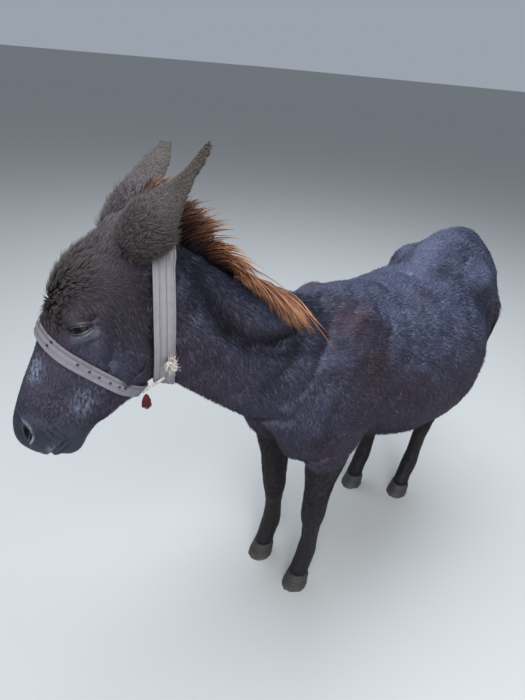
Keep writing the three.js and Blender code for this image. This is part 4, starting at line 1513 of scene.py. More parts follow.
@dataclass
class Mane:
    """The stiff mane on the crest, upright at the poll and fallen to the left near the withers."""

    skin: Form
    locks: int = 3600
    width: float = 0.0036
    spread: float = 0.011

    def crest(self) -> tuple[Array, Array]:
        """The line on which the mane grows, and how tall the mane is there."""
        mane = Form.of_object(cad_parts["mane"]).tree()
        skin = self.skin.tree()
        low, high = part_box("mane")
        roots, tall = [], []
        for x in np.linspace(low[0] + 0.004, high[0] - 0.004, 70):
            tops, grounds = [], []
            for y in np.linspace(low[1] - 0.01, high[1] + 0.01, 70):
                hit = mane.ray_cast(Vector((x, y, 2.0)), Vector((0.0, 0.0, -1.0)))[0]
                ground = skin.ray_cast(Vector((x, y, 1.24)), Vector((0.0, 0.0, -1.0)))[0]
                if hit is not None and ground is not None:
                    tops.append(hit.z)
                    grounds.append((ground.z, y))
            if grounds:
                ridge = max(grounds)
                roots.append((x, ridge[1], ridge[0]))
                tall.append(max(tops) - ridge[0])
        return even_line(np.array(roots), 6), even_line(np.array(tall)[:, None], 6)[:, 0]

    def build(self, finish: Material) -> None:
        """Grows the mane's locks."""
        roots, tall = self.crest()
        random = np.random.default_rng(41)
        t = random.uniform(0.0, 0.72, self.locks)
        place = along_line(roots, t)
        height = np.interp(t, np.linspace(0.0, 1.0, len(tall)), tall)
        back = unit(np.gradient(roots, axis=0))
        back = along_line(back, t)
        up = unit(np.cross(np.cross(back, (0.0, 0.0, 1.0)), back))
        left = unit(np.cross(up, back)) * -1.0
        left *= np.sign(-left[:, 1:2])
        over = random.normal(0.0, 1.0, self.locks)
        place = place + left * (over * self.spread * (0.6 + 0.5 * t))[:, None] - up * 0.006
        fallen = ease(t, 0.12, 0.60)
        clump = Ripple(0.040, 17)(place) * 0.6 + Ripple(0.014, 18)(place) * 0.45
        long = (0.084 + 0.030 * fallen - 0.028 * ease(t, 0.58, 0.72)) * random.uniform(0.7, 1.15, self.locks)
        long *= 1.0 + 0.18 * clump
        rise = 1.02 - 0.42 * fallen
        lean = 0.14 + 0.72 * fallen + 0.24 * clump + 0.16 * over
        behind = 0.20 + 0.08 * fallen + 0.16 * clump + random.normal(0.0, 0.10, self.locks)
        sag = 0.10 + 0.74 * fallen
        lines = []
        for step in np.linspace(0.0, 1.0, 7):
            high = long * (rise * step - sag * step * step)
            aside = long * lean * (0.35 * step + 0.65 * step * step)
            behind_by = long * behind * (0.55 * step + 0.45 * step * step)
            lines.append(place + up * high[:, None] + left * aside[:, None] + back * behind_by[:, None])
        lines = np.stack(lines, axis=1)
        sun = np.clip(0.18 + 0.95 * ease(t, 0.08, 0.46) + 0.35 * clump, 0.0, 1.0)
        unwrap = 0.01 + 0.98 * np.column_stack([t, np.clip(over / 6.0 + 0.5, 0.0, 1.0)])
        width = self.width * random.uniform(0.55, 1.15, self.locks)
        obj = Locks(6, 43).mesh("mane_hair", lines, width, unwrap, {"sun": sun, "height": height * 10.0})
        dress(obj, finish, "mane", "mane")


def even_line(rows: Array, rounds: int) -> Array:
    """Evens out a row of values, its ends kept.

    Args:
        rows: Values in order.
        rounds: How often each takes the mean of its neighbours.

    Returns:
        The evened values.
    """
    for _ in range(rounds):
        rows = np.vstack([rows[:1], (rows[:-2] + 2.0 * rows[1:-1] + rows[2:]) / 4.0, rows[-1:]])
    return rows


def along_line(line: Array, shares: Array) -> Array:
    """Places at shares of a line's length, from 0 to 1, by its points."""
    steps = np.linspace(0.0, 1.0, len(line))
    return np.column_stack([np.interp(shares, steps, line[:, k]) for k in range(line.shape[1])])


@dataclass
class TailHair:
    """The tail's tassel of long dark hair, hung from the dock."""

    locks: int = 1100
    width: float = 0.0062

    def axis(self) -> Array:
        """Middles and half widths down the tail, as rows of x, y, z and radius."""
        forms = [Form.of_object(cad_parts[node]) for node in ("tail", "tail_switch")]
        points = np.vstack([form.points for form in forms])
        rows = []
        for z in np.linspace(points[:, 2].max() - 0.09, points[:, 2].min() + 0.004, 22):
            ring = points[np.abs(points[:, 2] - z) < 0.022]
            if len(ring) > 5:
                low, high = ring.min(axis=0), ring.max(axis=0)
                middle = (low + high) / 2.0
                rows.append((middle[0], middle[1], z, (high - low)[:2].mean() / 2.0))
        return even_line(np.array(rows), 3)

    def build(self, finish: Material) -> None:
        """Hangs the locks."""
        axis = self.axis()
        random = np.random.default_rng(61)
        count = self.locks
        start = random.uniform(0.0, 0.62, count) ** 1.1
        end = np.minimum(start + random.uniform(0.28, 0.62, count), random.uniform(0.86, 1.0, count))
        angle = random.uniform(0.0, TURN, count)
        out = np.sqrt(random.uniform(0.15, 1.0, count))
        lines = []
        for step in np.linspace(0.0, 1.0, 8):
            share = start + (end - start) * step
            row = along_line(axis, share)
            reach = row[:, 3] * (0.42 + 0.52 * ease(np.full(count, step), 0.0, 0.35)) * out
            reach = reach * (1.0 - 0.35 * step * step)
            curl = angle + 0.5 * np.sin(step * 3.0 + angle * 3.0)
            swing = np.column_stack([np.cos(curl) * reach, np.sin(curl) * reach, reach * 0])
            lines.append(row[:, :3] + swing)
        lines = np.stack(lines, axis=1)
        unwrap = 0.01 + 0.98 * np.column_stack([angle / (TURN), start])
        width = self.width * random.uniform(0.5, 1.1, count)
        obj = Locks(7, 63).mesh("tail_hair", lines, width, unwrap, {"sun": random.uniform(0, 1, count)})
        dress(obj, finish, "mane", "tail_switch")


@dataclass
class Ears:
    """The fringes and the hair inside the ears."""

    pelt: Pelt

    def line(self, side: str) -> tuple[Array, Array]:
        """An ear's root and tip."""
        root, tip = EAR_LINES[side]
        return self.pelt.head.at(*root), self.pelt.head.at(*tip)

    def facing(self, side: str) -> Array:
        """The way that an ear's opening faces, across its length."""
        root, tip = self.line(side)
        axis = unit(tip - root)
        open_way = np.array(EAR_FACINGS[side])
        return unit(open_way - axis * (axis @ open_way))

    def read(self, side: str, points: Array) -> tuple[Array, Array, Array]:
        """Places along an ear from 0 to 1, across it, and towards its opening."""
        root, tip = self.line(side)
        axis, opening = unit(tip - root), self.facing(side)
        local = points - root
        length = np.linalg.norm(tip - root)
        return local @ axis / length, local @ np.cross(axis, opening), local @ opening

    def zones(self, side: str) -> tuple[Array, Array]:
        """How far each point of the skin is on an ear's rim, and inside it."""
        points, ear = self.pelt.form.points, self.pelt.parts[f"ear_{side}"]
        run, across, out = self.read(side, points)
        normals = self.pelt.form.normals()
        inside = ease(normals @ self.facing(side), 0.15, 0.5) * ear
        rim = np.zeros(len(points))
        on_ear = ear > 0.5
        for low in np.linspace(-0.1, 1.0, 24):
            for sign in (-1.0, 1.0):
                chosen = on_ear & (run >= low) & (run < low + 0.05) & (across * sign > 0)
                if chosen.any():
                    top = out[chosen].max()
                    rim[chosen] = ease(out[chosen], top - 0.012, top - 0.003)
        return rim, inside

    def patches(self) -> list[Patch]:
        """Stretches of long hair on and in the ears."""
        found = []
        for side, seed in (("left", 31), ("right", 33)):
            rim, inside = self.zones(side)
            root, tip = self.line(side)
            run, _, _ = self.read(side, self.pelt.form.points)
            base = self.pelt.parts[f"ear_{side}"] * ease(run, 0.42, 0.12)
            way = tip - root
            found.append(Patch(f"ear_{side}_fringe", rim, 1600, Tufts(2, Lie.SHAGGY, seed=seed), root, way,
                               long=1.1, wide=0.7, raised=0.8))
            found.append(Patch(f"ear_{side}_lining", inside * (1.0 - rim) * ease(run, 1.0, 0.75), 1500,
                               Tufts(2, Lie.SHAGGY, seed=seed + 1), root, way,
                               long=1.8, wide=0.8, raised=1.6))
            found.append(Patch(f"ear_{side}_foot", base, 2700,
                               Tufts(2, Lie.SHAGGY, droop=0.3, seed=seed + 5), root, way, long=2.1,
                                   wide=0.8, raised=1.3))
        return found


@dataclass(frozen=True)
class LongHairFinish:
    """Hair dark at its root and bleached by the sun towards its tip."""

    name: str
    root: Triple
    middle: Triple
    tip: Triple
    mark: str = "sun"

    def material(self) -> Material:
        """The finish."""
        finish = Finish(self.name)
        tip, shade, sun = finish.mark("tip"), finish.mark("shade"), finish.mark(self.mark)
        up = (tip * (0.75 + 0.5 * sun)).cap()
        colour = finish.mix((up.rise(0.12, 0.62) * sun).cap(), self.root, self.middle)
        colour = finish.mix((up.rise(0.5, 1.1) * sun * (0.35 + shade * 0.8)).cap(), colour, self.tip)
        colour = finish.times(colour, finish.grey(0.65 + shade * 0.6))
        return finish.surface(Base_Color=colour, Roughness=0.5, Specular_IOR_Level=0.12)


# ---------------------------------------------------------------- eyes, hooves and halter
def sheet(rows: Array, closed_rows: bool, closed_columns: bool) -> tuple[Array, Array]:
    """Quads over a grid of points.

    Args:
        rows: Points, shape (rows, columns, 3).
        closed_rows: True if the last row joins the first.
        closed_columns: True if the last column joins the first.

    Returns:
        The points as one list, and the corners of the quads.
    """
    high, wide = rows.shape[:2]
    i, j = np.meshgrid(np.arange(high if closed_rows else high - 1),
                       np.arange(wide if closed_columns else wide - 1), indexing="ij")
    i, j = i.ravel(), j.ravel()
    k, m = (i + 1) % high, (j + 1) % wide
    quads = np.column_stack([i * wide + j, i * wide + m, k * wide + m, k * wide + j])
    return rows.reshape(-1, 3), quads


def tube(path: Array, radii: Array, sides: int = 8) -> tuple[Array, Array]:
    """A round strand along a path, pinched shut at both ends.

    Args:
        path: Places along it.
        radii: Its radius at each place.
        sides: Points round it.

    Returns:
        Points and quads.
    """
    along = unit(np.gradient(path, axis=0))
    side = unit(np.cross(along, (0.137, 0.31, 0.94)))
    above = np.cross(along, side)
    angle = np.linspace(0.0, TURN, sides, endpoint=False)
    ring = side[:, None] * np.cos(angle)[None, :, None] + above[:, None] * np.sin(angle)[None, :, None]
    rows = path[:, None] + ring * radii[:, None, None]
    ends = [np.repeat(path[:1, None], sides, axis=1), rows, np.repeat(path[-1:, None], sides, axis=1)]
    return sheet(np.vstack(ends), False, True)


def quads_object(
    name: str, pieces: Sequence[tuple[Array, Array]], marks: dict[str, Array] | None = None
) -> bpy.types.Object:
    """One object from several grids of quads.

    Args:
        name: The piece's name.
        pieces: Points and quads of each grid.
        marks: Values for each point.

    Returns:
        The object, with doubled points joined.
    """
    starts = np.cumsum([0] + [len(points) for points, _ in pieces[:-1]])
    points = np.vstack([points for points, _ in pieces])
    quads = np.vstack([quads + start for (_, quads), start in zip(pieces, starts)])
    obj = new_object(name, points, quads.ravel(), np.full(len(quads), 4), marks)
    work = bmesh.new()
    work.from_mesh(obj.data)
    bmesh.ops.remove_doubles(work, verts=work.verts, dist=1e-6)
    bmesh.ops.dissolve_degenerate(work, edges=work.edges, dist=1e-7)
    bmesh.ops.recalc_face_normals(work, faces=work.faces)
    work.to_mesh(obj.data)
    work.free()
    obj.data.polygons.foreach_set("use_smooth", np.ones(len(obj.data.polygons), bool))
    return obj


@dataclass
class Eyes:
    """Two dark moist eyeballs with their lid rims and lashes."""

    head: Head
    rim: float = 0.00125
    lashes: int = 46

    def build(self, ball_look: Material, rim_look: Material,
              lash_look: Material) -> None:
        """Builds both eyes."""
        for side in SIDES:
            lids = Eyelids(self.head, side)
            ways = lids.ways()
            self._ball(side, ways, ball_look)
            self._rims(side, lids, rim_look)
            self._lashes(side, lids, lash_look)

    def _ball(self, side: str, ways: Array, look: Material) -> None:
        """The eyeball, its axis through the middle of the pupil."""
        centre, radius = self.head.eye_place(side), self.head.eye_radius()
        polar = np.linspace(0.0, math.pi, 33)
        angle = np.linspace(0.0, TURN, 64, endpoint=False)
        ring = ways[0] * np.cos(angle)[:, None] + ways[1] * np.sin(angle)[:, None]
        rows = ring[None] * np.sin(polar)[:, None, None] + ways[2] * np.cos(polar)[:, None, None]
        points, quads = sheet(centre + rows * radius * 0.995, False, True)
        obj = quads_object(f"eyeball_{side}", [(points, quads)])
        mesh = obj.data
        places = np.empty(len(mesh.vertices) * 3)
        mesh.vertices.foreach_get("co", places)
        off = (places.reshape(-1, 3) - centre) / radius
        wide = np.hypot(off @ ways[0] / 0.42, off @ ways[1] / 0.20)
        iris = np.hypot(off @ ways[0], off @ ways[1])
        front = off @ ways[2] > 0.0
        for key, values in (("pupil", np.where(front, ease(wide, 1.1, 0.85), 0.0)),
                            ("iris", np.where(front, ease(iris, 0.80, 0.70), 0.0))):
            mesh.attributes.new(key, "FLOAT", "POINT").data.foreach_set("value", values.astype(np.float32))
        dress(obj, look, "eye", f"eye_{side}")

    def _edge(self, lids: Eyelids, upper: bool, out: float, count: int = 40) -> Array:
        """Places along a lid's edge, out from the ball by some metres."""
        along = np.linspace(-lids.half, lids.half, count)
        top, foot = lids.margins(along)
        across = np.radians(top if upper else foot)
        along = np.radians(along)
        level = np.cos(across)
        local = np.column_stack([np.sin(along) * level, np.sin(across), np.cos(along) * level])
        return self.head.eye_place(lids.side) + local @ lids.ways() * (self.head.eye_radius() + out)

    def _rims(self, side: str, lids: Eyelids, look: Material) -> None:
        """Moist rims along both lids."""
        pieces = []
        for upper in (True, False):
            path = self._edge(lids, upper, 0.0008)
            taper = np.sin(np.linspace(0.12, math.pi - 0.12, len(path))) ** 0.5
            pieces.append(tube(path, self.rim * taper * (1.25 if upper else 1.0), 8))
        dress(quads_object(f"lid_rims_{side}", pieces), look, "eye")

    def _lashes(self, side: str, lids: Eyelids, look: Material) -> None:
        """Straight lashes, long on the upper lid."""
        random = np.random.default_rng(71)
        ways = lids.ways()
        lines, widths = [], []
        for upper, share, long in ((True, 1.0, 0.011), (False, 0.3, 0.005)):
            count = int(self.lashes * share)
            path = self._edge(lids, upper, 0.0012, 60)
            at = np.clip(np.linspace(0.1, 0.92, count) + random.normal(0, 0.01, count), 0.0, 1.0)
            roots = along_line(path, at)
            out = unit(roots - self.head.eye_place(side))
            tilt = -0.15 if upper else -0.8
            way = unit(out + ways[1] * tilt + ways[0] * random.normal(0.1, 0.16, (count, 1)))
            length = long * random.uniform(0.7, 1.1, count) * (0.6 + 0.4 * np.sin(at * math.pi))
            bend = ways[1] * (0.20 if upper else -0.1)
            steps = [roots + (way * t + bend * t * t) * length[:, None] for t in np.linspace(0, 1, 4)]
            lines.append(np.stack(steps, axis=1))
            widths.append(np.full(count, 0.00055))
        lines = np.vstack(lines)
        unwrap = 0.02 + 0.96 * np.column_stack([np.linspace(0, 1, len(lines)), np.full(len(lines), 0.5)])
        obj = Locks(3, 73).mesh(f"lashes_{side}", lines, np.concatenate(widths), unwrap,
                                {"sun": np.zeros(len(lines))})
        dress(obj, look, "coat")


@dataclass
class Hooves:
    """Four hooves with growth rings, cracked edges and pale worn toes."""

    rings: int = 26
    around: int = 72

    def build(self, look: Material) -> None:
        """Builds the hooves inside their solids."""
        for leg in LEGS:
            low, high = box_of(f"hoof_{leg}")
            form = Form.of_object(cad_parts[f"hoof_{leg}"])
            self._hoof(leg, low, high, form, look)

    def _hoof(self, leg: str, low: Array, high: Array, form: Form, look: Material) -> None:
        """One hoof: its wall ring by ring, closed by its sole and top."""
        middle = np.array([(low[0] + high[0]) / 2.0, (low[1] + high[1]) / 2.0])
        tree = form.tree()
        angle = np.linspace(0.0, TURN, self.around, endpoint=False)
        rows = []
        tall = high[2] - low[2]
        for k in range(self.rings):
            share = k / (self.rings - 1)
            level = low[2] + tall * (0.004 + 0.82 * share)
            row = []
            for a in angle:
                way = Vector((math.cos(a), math.sin(a), 0.0))
                start = Vector((middle[0], middle[1], level)) + way * 0.2
                hit = tree.ray_cast(start, -way)[0]
                row.append(hit if hit is not None else start - way * 0.165)
            rows.append(np.array(row))
        rows = np.stack(rows)
        for _ in range(3):
            rows = (np.roll(rows, 1, axis=1) + 2.0 * rows + np.roll(rows, -1, axis=1)) / 4.0
        centre = np.append(middle, 0.0)
        flat = rows - centre
        flat[:, :, 2] = 0.0
        level = (rows[:, :, 2] - low[2]) / tall
        wave = 0.0007 * np.sin(level * 46.0 + 0.6 * np.sin(angle)[None]) - 0.0009
        worn = 0.0012 * ease(level, 0.10, 0.0) * Ripple(0.02, 81)(rows.reshape(-1, 3)).reshape(level.shape)
        rows = rows + unit(flat) * (wave + worn)[:, :, None]
        heel = ease((rows[:, :, 0] - centre[0]) / (high[0] - centre[0]), 0.75, 1.0)
        groove = bell(rows[:, :, 1] - centre[1], 0.006) * heel * ease(level, 0.9, 0.2)
        rows = rows - unit(flat) * (groove * 0.006)[:, :, None]
        slant = high[2] - low[2] - 0.004
        top = rows[-1] * 0.93 + (centre + np.array([0.0, 0.0, low[2] + slant * 0.86])) * 0.07
        top[:, 2] = rows[-1][:, 2] + 0.002
        sole = rows[0] * 0.90 + (centre + np.array([0.0, 0.0, low[2] + 0.004])) * 0.10
        sole[:, 2] = low[2] + 0.004
        inner = np.repeat((centre + np.array([0.0, 0.0, low[2] + 0.006]))[None], self.around, axis=0)
        cap = np.repeat((centre + np.array([0.0, 0.0, rows[-1][:, 2].max() + 0.004]))[None], self.around, 0)
        rows[0][:, 2] = low[2]
        grid = np.stack([inner, sole, *rows, top, cap])
        dress(quads_object(f"hoof_wall_{leg}", [sheet(grid, False, True)]), look, "hoof", f"hoof_{leg}")


class Weave(Enum):
    """The two webbings of the halter."""

    NOSE = "noseband"
    NECK = "collar"


@dataclass
class Strap:
    """A webbing band wrapped round the head, laid over its solid."""

    node: str
    centre: Array
    down: Array
    out: Array
    wide: float
    thick: float
    ribs: int
    columns: int = 30
    steps: int = 240
    rib: float = 0.0006

    def middle_line(self) -> tuple[Array, Array]:
        """The band's outer middle line and its directions across."""
        tree = Form.of_object(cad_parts[self.node]).tree()
        flat = unit(np.cross(self.down, self.out))
        places, tilts = [], []
        for angle in np.linspace(0.0, TURN, self.steps, endpoint=False):
            way = self.down * math.cos(angle) + self.out * math.sin(angle)
            found = []
            for share in (-0.36, 0.0, 0.36):
                origin = self.centre + way * 0.35 + flat * (share * self.wide)
                low = self._outer(tree, origin, -way)
                found.append(np.nan * way if low is None else low)
            places.append(found[1])
            tilts.append(found[2] - found[0])
        places, tilts = fill_gaps(np.array(places)), unit(fill_gaps(np.array(tilts)))
        return even_ring(places, 10), unit(even_ring(tilts, 14))

    @staticmethod
    def _outer(tree: BVHTree, origin: Array, way: Array) -> Array | None:
        """The band's outer face on a ray from outside, if it is there."""
        hit = tree.ray_cast(Vector(origin), Vector(way))[0]
        return None if hit is None else np.array(hit)

    def profile(self) -> tuple[Array, Array]:
        """Places across the band, and heights over its inner face: outer face first, then inner."""
        across = np.linspace(-1.0, 1.0, self.columns)
        edge = 1.0 - np.abs(across) ** 14
        rib = np.cos(across * math.pi * self.ribs) * self.rib
        outer = self.thick * (0.55 + 0.45 * edge) + rib * edge
        inner = np.linspace(1.0, -1.0, 5)
        return (np.concatenate([across, inner]) * self.wide / 2.0,
                np.concatenate([outer, np.full(5, self.thick * 0.02)]))

    def build(self, look: Material) -> Array:
        """Builds the band and gives its outer middle line."""
        line, across = self.middle_line()
        along = unit(np.roll(line, -1, axis=0) - np.roll(line, 1, axis=0))
        across = unit(across - along * (across * along).sum(axis=1, keepdims=True))
        outward = np.cross(along, across)
        outward *= np.sign((outward * (line - self.centre)).sum(axis=1))[:, None]
        sizes, heights = self.profile()
        base = line - outward * self.thick
        rows = (base[:, None] + across[:, None] * sizes[None, :, None]
                + outward[:, None] * heights[None, :, None])
        points, quads = sheet(rows, True, True)
        share = np.tile(sizes / self.wide + 0.5, len(line))
        step = np.linalg.norm(np.roll(line, -1, axis=0) - line, axis=1)
        run = np.repeat(np.concatenate([[0.0], np.cumsum(step)[:-1]]), len(sizes))
        obj = quads_object(f"{self.node}_webbing", [(points, quads)], {"across": share, "along": run})
        dress(obj, look, "webbing", self.node)
        return np.stack([line, across, outward])


def fill_gaps(rows: Array) -> Array:
    """Fills missing rows of a closed line from their neighbours."""
    known = ~np.isnan(rows[:, 0])
    index = np.arange(len(rows))
    return np.column_stack(
        [np.interp(index, index[known], rows[known, k], period=len(rows)) for k in range(3)]
    )


def even_ring(rows: Array, rounds: int) -> Array:
    """Evens out a closed line."""
    for _ in range(rounds):
        rows = (np.roll(rows, 1, axis=0) + 2.0 * rows + np.roll(rows, -1, axis=0)) / 4.0
    return rows


@dataclass
class Halter:
    """The worn webbing halter: noseband, collar, tie, knot and tassel."""

    head: Head
    holes: tuple[tuple[float, float], ...] = (
        (213.0, 0.009), (211.0, -0.002), (244.5, 0.002), (262.0, 0.001), (281.0, 0.0), (300.0, 0.0),
        (313.5, 0.001), (321.0, 0.003),
    )  # degrees round the band, and places across it
    eyelet: tuple[tuple[float, float], ...] = (
        (0.0, 0.0010), (0.0021, 0.0010), (0.0028, 0.0014), (0.0031, -0.0004),
    )  # radius and height of each ring of an eyelet

    def build(self, webbing: dict[Weave, Material], dark: Material,
              cord: Material, wool: Material) -> None:
        """Builds all pieces of the halter."""
        head = self.head
        nose = Strap("noseband", head.at(223, -85, 0), head.way(0.1, -1, 0), head.way(0, 0, 1),
                     0.030, 0.0026, 2)
        neck = Strap("collar", head.at(62, -126, 0), head.way(0.84, -0.542, 0), head.way(0, 0, 1),
                     0.045, 0.0034, 4, columns=44, rib=0.0008)
        line = nose.build(webbing[Weave.NOSE])
        neck.build(webbing[Weave.NECK])
        self._holes(line, dark)
        self._tie(cord)
        self._knot(cord)
        self._tassel(wool)

    def _holes(self, line: Array, look: Material) -> None:
        """Small dark eyelets along the noseband's near side."""
        pieces = []
        angle = np.linspace(0.0, TURN, 14, endpoint=False)
        for degrees, aside in self.holes:
            k = int(round(degrees / 360.0 * line.shape[1])) % line.shape[1]
            place, across, outward = line[0, k], line[1, k], line[2, k]
            along = np.cross(across, outward)
            ring = along * np.cos(angle)[:, None] + across * np.sin(angle)[:, None]
            rows = [place + across * aside + outward * lift + ring * radius for radius, lift in self.eyelet]
            pieces.append(sheet(np.stack(rows), False, True))
        dress(quads_object("noseband_eyelets", pieces), look, "cord")

    def _tie(self, look: Material) -> None:
        """A twisted cord from the noseband to the collar."""
        solid = Form.of_object(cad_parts["tie"]).points
        middle = solid.mean(axis=0)
        _, _, ways = np.linalg.svd(solid - middle)
        reach = (solid - middle) @ ways[0]
        start, end = middle + ways[0] * reach.min() * 0.98, middle + ways[0] * reach.max() * 0.98
        steps = np.linspace(0.0, 1.0, 60)
        pieces = []
        for strand in range(3):
            turn = steps * TURN * 4.5 + strand * TURN / 3.0
            path = start + (end - start) * steps[:, None]
            path = path + (ways[1] * np.cos(turn)[:, None] + ways[2] * np.sin(turn)[:, None]) * 0.0014
            pieces.append(tube(path, np.full(60, 0.0017), 7))
        dress(quads_object("tie_cord", pieces), look, "cord", "tie")

    def _knot(self, look: Material) -> None:
        """A tied knot of frayed strands."""
        low, high = box_of("collar_knot")
        middle, half = (low + high) / 2.0, (high - low) / 2.0
        random = np.random.default_rng(91)
        steps = np.linspace(0.0, TURN, 70)
        pieces = []
        for turn in range(4):
            tilt = random.uniform(-0.6, 0.6, 3)
            rise = np.sin(2.0 * steps + tilt[1]) * 0.7
            path = np.column_stack([np.cos(steps), np.sin(steps + tilt[0]), rise])
            path = middle + path * half * (0.52 + 0.06 * turn) + half * tilt * 0.12
            pieces.append(tube(path, np.full(70, 0.0026), 8))
        for _ in range(110):
            way = unit(random.normal(size=3) * (0.6, 0.6, 0.8) + (0.25, -0.55, -0.1))
            start = middle + way * half * 0.55
            long = random.uniform(0.45, 1.0)
            bend = random.normal(size=3) * 0.25
            path = np.array([start + (way * t + bend * t * t) * half * long for t in np.linspace(0, 0.8, 6)])
            path = np.clip(path, low - 0.004, high + 0.004)
            pieces.append(tube(path, np.linspace(0.0006, 0.0002, 6), 4))
        dress(quads_object("knot_strands", pieces), look, "cord", "collar_knot")

    def _tassel(self, look: Material) -> None:
        """A small bound tuft of red wool."""
        low, high = box_of("tassel")
        top = np.array([(low[0] + high[0]) / 2.0, (low[1] + high[1]) / 2.0, high[2]])
        half = (high - low) / 2.0
        random = np.random.default_rng(93)
        pieces = []
        steps = np.linspace(0.0, 1.0, 9)
        for _ in range(170):
            a, out = random.uniform(0.0, TURN), math.sqrt(random.uniform(0.0, 1.0))
            wave = random.uniform(0.0, 6.0)
            spread = 0.18 + 0.82 * np.sin(np.clip(steps * 1.25, 0, 1) * math.pi / 2.0)
            spread = spread * (1.0 + 0.12 * np.sin(steps * 14.0 + wave))
            drop = -steps * half[2] * 2.0 * random.uniform(0.82, 1.0)
            path = top + np.column_stack([np.cos(a) * half[0] * out * spread,
                                          np.sin(a) * half[1] * out * spread, drop])
            pieces.append(tube(path, np.linspace(0.0008, 0.0006, 9), 4))
        ring = np.linspace(0.0, TURN, 40)
        for level in (0.16, 0.22):
            path = top + np.column_stack([np.cos(ring) * half[0] * 0.5, np.sin(ring) * half[1] * 0.5,
                                          np.full(40, -level * half[2] * 2.0)])
            pieces.append(tube(path, np.full(40, 0.0012), 6))
        dress(quads_object("tassel_wool", pieces), look, "tassel", "tassel")


# ---------------------------------------------------------------- finishes of the small pieces
@dataclass(frozen=True)
class EyeFinish:
    """A dark brown iris, a wide dark pupil and a wet gloss."""

    iris: Triple = (0.008, 0.006, 0.006)
    white: Triple = (0.030, 0.023, 0.022)
    pupil: Triple = (0.002, 0.002, 0.004)

    def material(self) -> Material:
        """The eyeball's finish."""
        finish = Finish("eyeball")
        veins = finish.noise(finish.place(), 900.0, 4.0)
        colour = finish.mix(finish.mark("iris"), self.white, self.iris)
        colour = finish.times(colour, finish.grey(0.7 + veins * 0.6))
        colour = finish.mix(finish.mark("pupil"), colour, self.pupil)
        return finish.surface(Base_Color=colour, Roughness=0.22,
                              Coat_Weight=0.22, Coat_Roughness=0.04, Specular_IOR_Level=0.08)


@dataclass(frozen=True)
class PlainFinish:
    """A colour that varies over the surface, with a fine bump."""

    name: str
    colour: Triple
    other: Triple
    scale: float
    rough: float
    bumps: float = 0.0003
    gloss: float = 0.0

    def material(self) -> Material:
        """The finish."""
        finish = Finish(self.name)
        place = finish.place()
        cloud = finish.noise(place, self.scale, 4.0)
        fine = finish.noise(place, self.scale * 6.0, 3.0)
        finish.surface(Coat_Weight=self.gloss)
        return finish.surface(
            Base_Color=finish.mix(cloud.rise(0.3, 0.7), self.colour, self.other),
            Roughness=(self.rough - 0.12) + fine * 0.2,
            Normal=finish.bump(fine, self.bumps, 0.6),
        )


@dataclass(frozen=True)
class HoofFinish:
    """Grey horn with rings, streaks and dust towards the ground."""

    horn: Triple = (0.020, 0.018, 0.018)
    pale: Triple = (0.052, 0.047, 0.043)
    dust: Triple = (0.064, 0.056, 0.046)

    def material(self) -> Material:
        """The finish."""
        finish = Finish("hoof")
        place = finish.place()
        split = finish.raw("ShaderNodeSeparateXYZ", {}, {0: place})
        level = Wire(finish, split.outputs["Z"])
        streak = finish.noise(finish.scaled(place, (1.0, 1.0, 0.08)), 420.0, 3.0)
        rings = finish.noise(finish.scaled(place, (0.05, 0.05, 1.0)), 330.0, 3.0)
        cloud = finish.noise(place, 60.0, 4.0)
        colour = finish.mix(rings.rise(0.35, 0.7) * 0.6, self.horn, self.pale)
        colour = finish.mix(streak.rise(0.5, 0.75) * 0.35, colour, self.pale)
        colour = finish.mix((level.rise(0.030, 0.0) * cloud.rise(0.3, 0.6)).cap() * 0.8, colour, self.dust)
        height = streak * 0.4 + rings
        return finish.surface(Base_Color=colour, Roughness=0.45 + cloud * 0.35,
                              Normal=finish.bump(height, 0.0005, 0.5))


@dataclass(frozen=True)
class WebbingFinish:
    """Woven webbing with a fine rib, stitched lines and worn dirt."""

    weave: Weave
    light: Triple
    dirt: Triple
    line: Triple
    stripes: float
    share: float

    def material(self) -> Material:
        """The finish."""
        finish = Finish(f"webbing_{self.weave.value}")
        across, along, place = finish.mark("across"), finish.mark("along"), finish.place()
        cloud = finish.noise(place, 70.0, 5.0)
        fine = finish.noise(place, 700.0, 2.0)
        weft = (along * (TURN / 0.0016)).wave() * 0.5 + 0.5
        warp = (across * (TURN * 22.0)).wave() * 0.5 + 0.5
        band = ((across - 0.5) * (TURN * self.stripes)).wave() * 0.5 + 0.5
        lines = band.rise(0.93, 0.995)
        colour = finish.mix((cloud.rise(0.45, 0.75) * 0.7).cap(), self.light, self.dirt)
        colour = finish.mix((lines * self.share).cap(), colour, self.line)
        colour = finish.times(colour, finish.grey(0.82 + weft * 0.1 + warp * 0.08 + fine * 0.1))
        height = weft * 0.5 + warp * 0.4 - lines * 0.8 + fine * 0.3
        return finish.surface(Base_Color=colour, Roughness=0.78, Normal=finish.bump(height, 0.0004, 0.6))


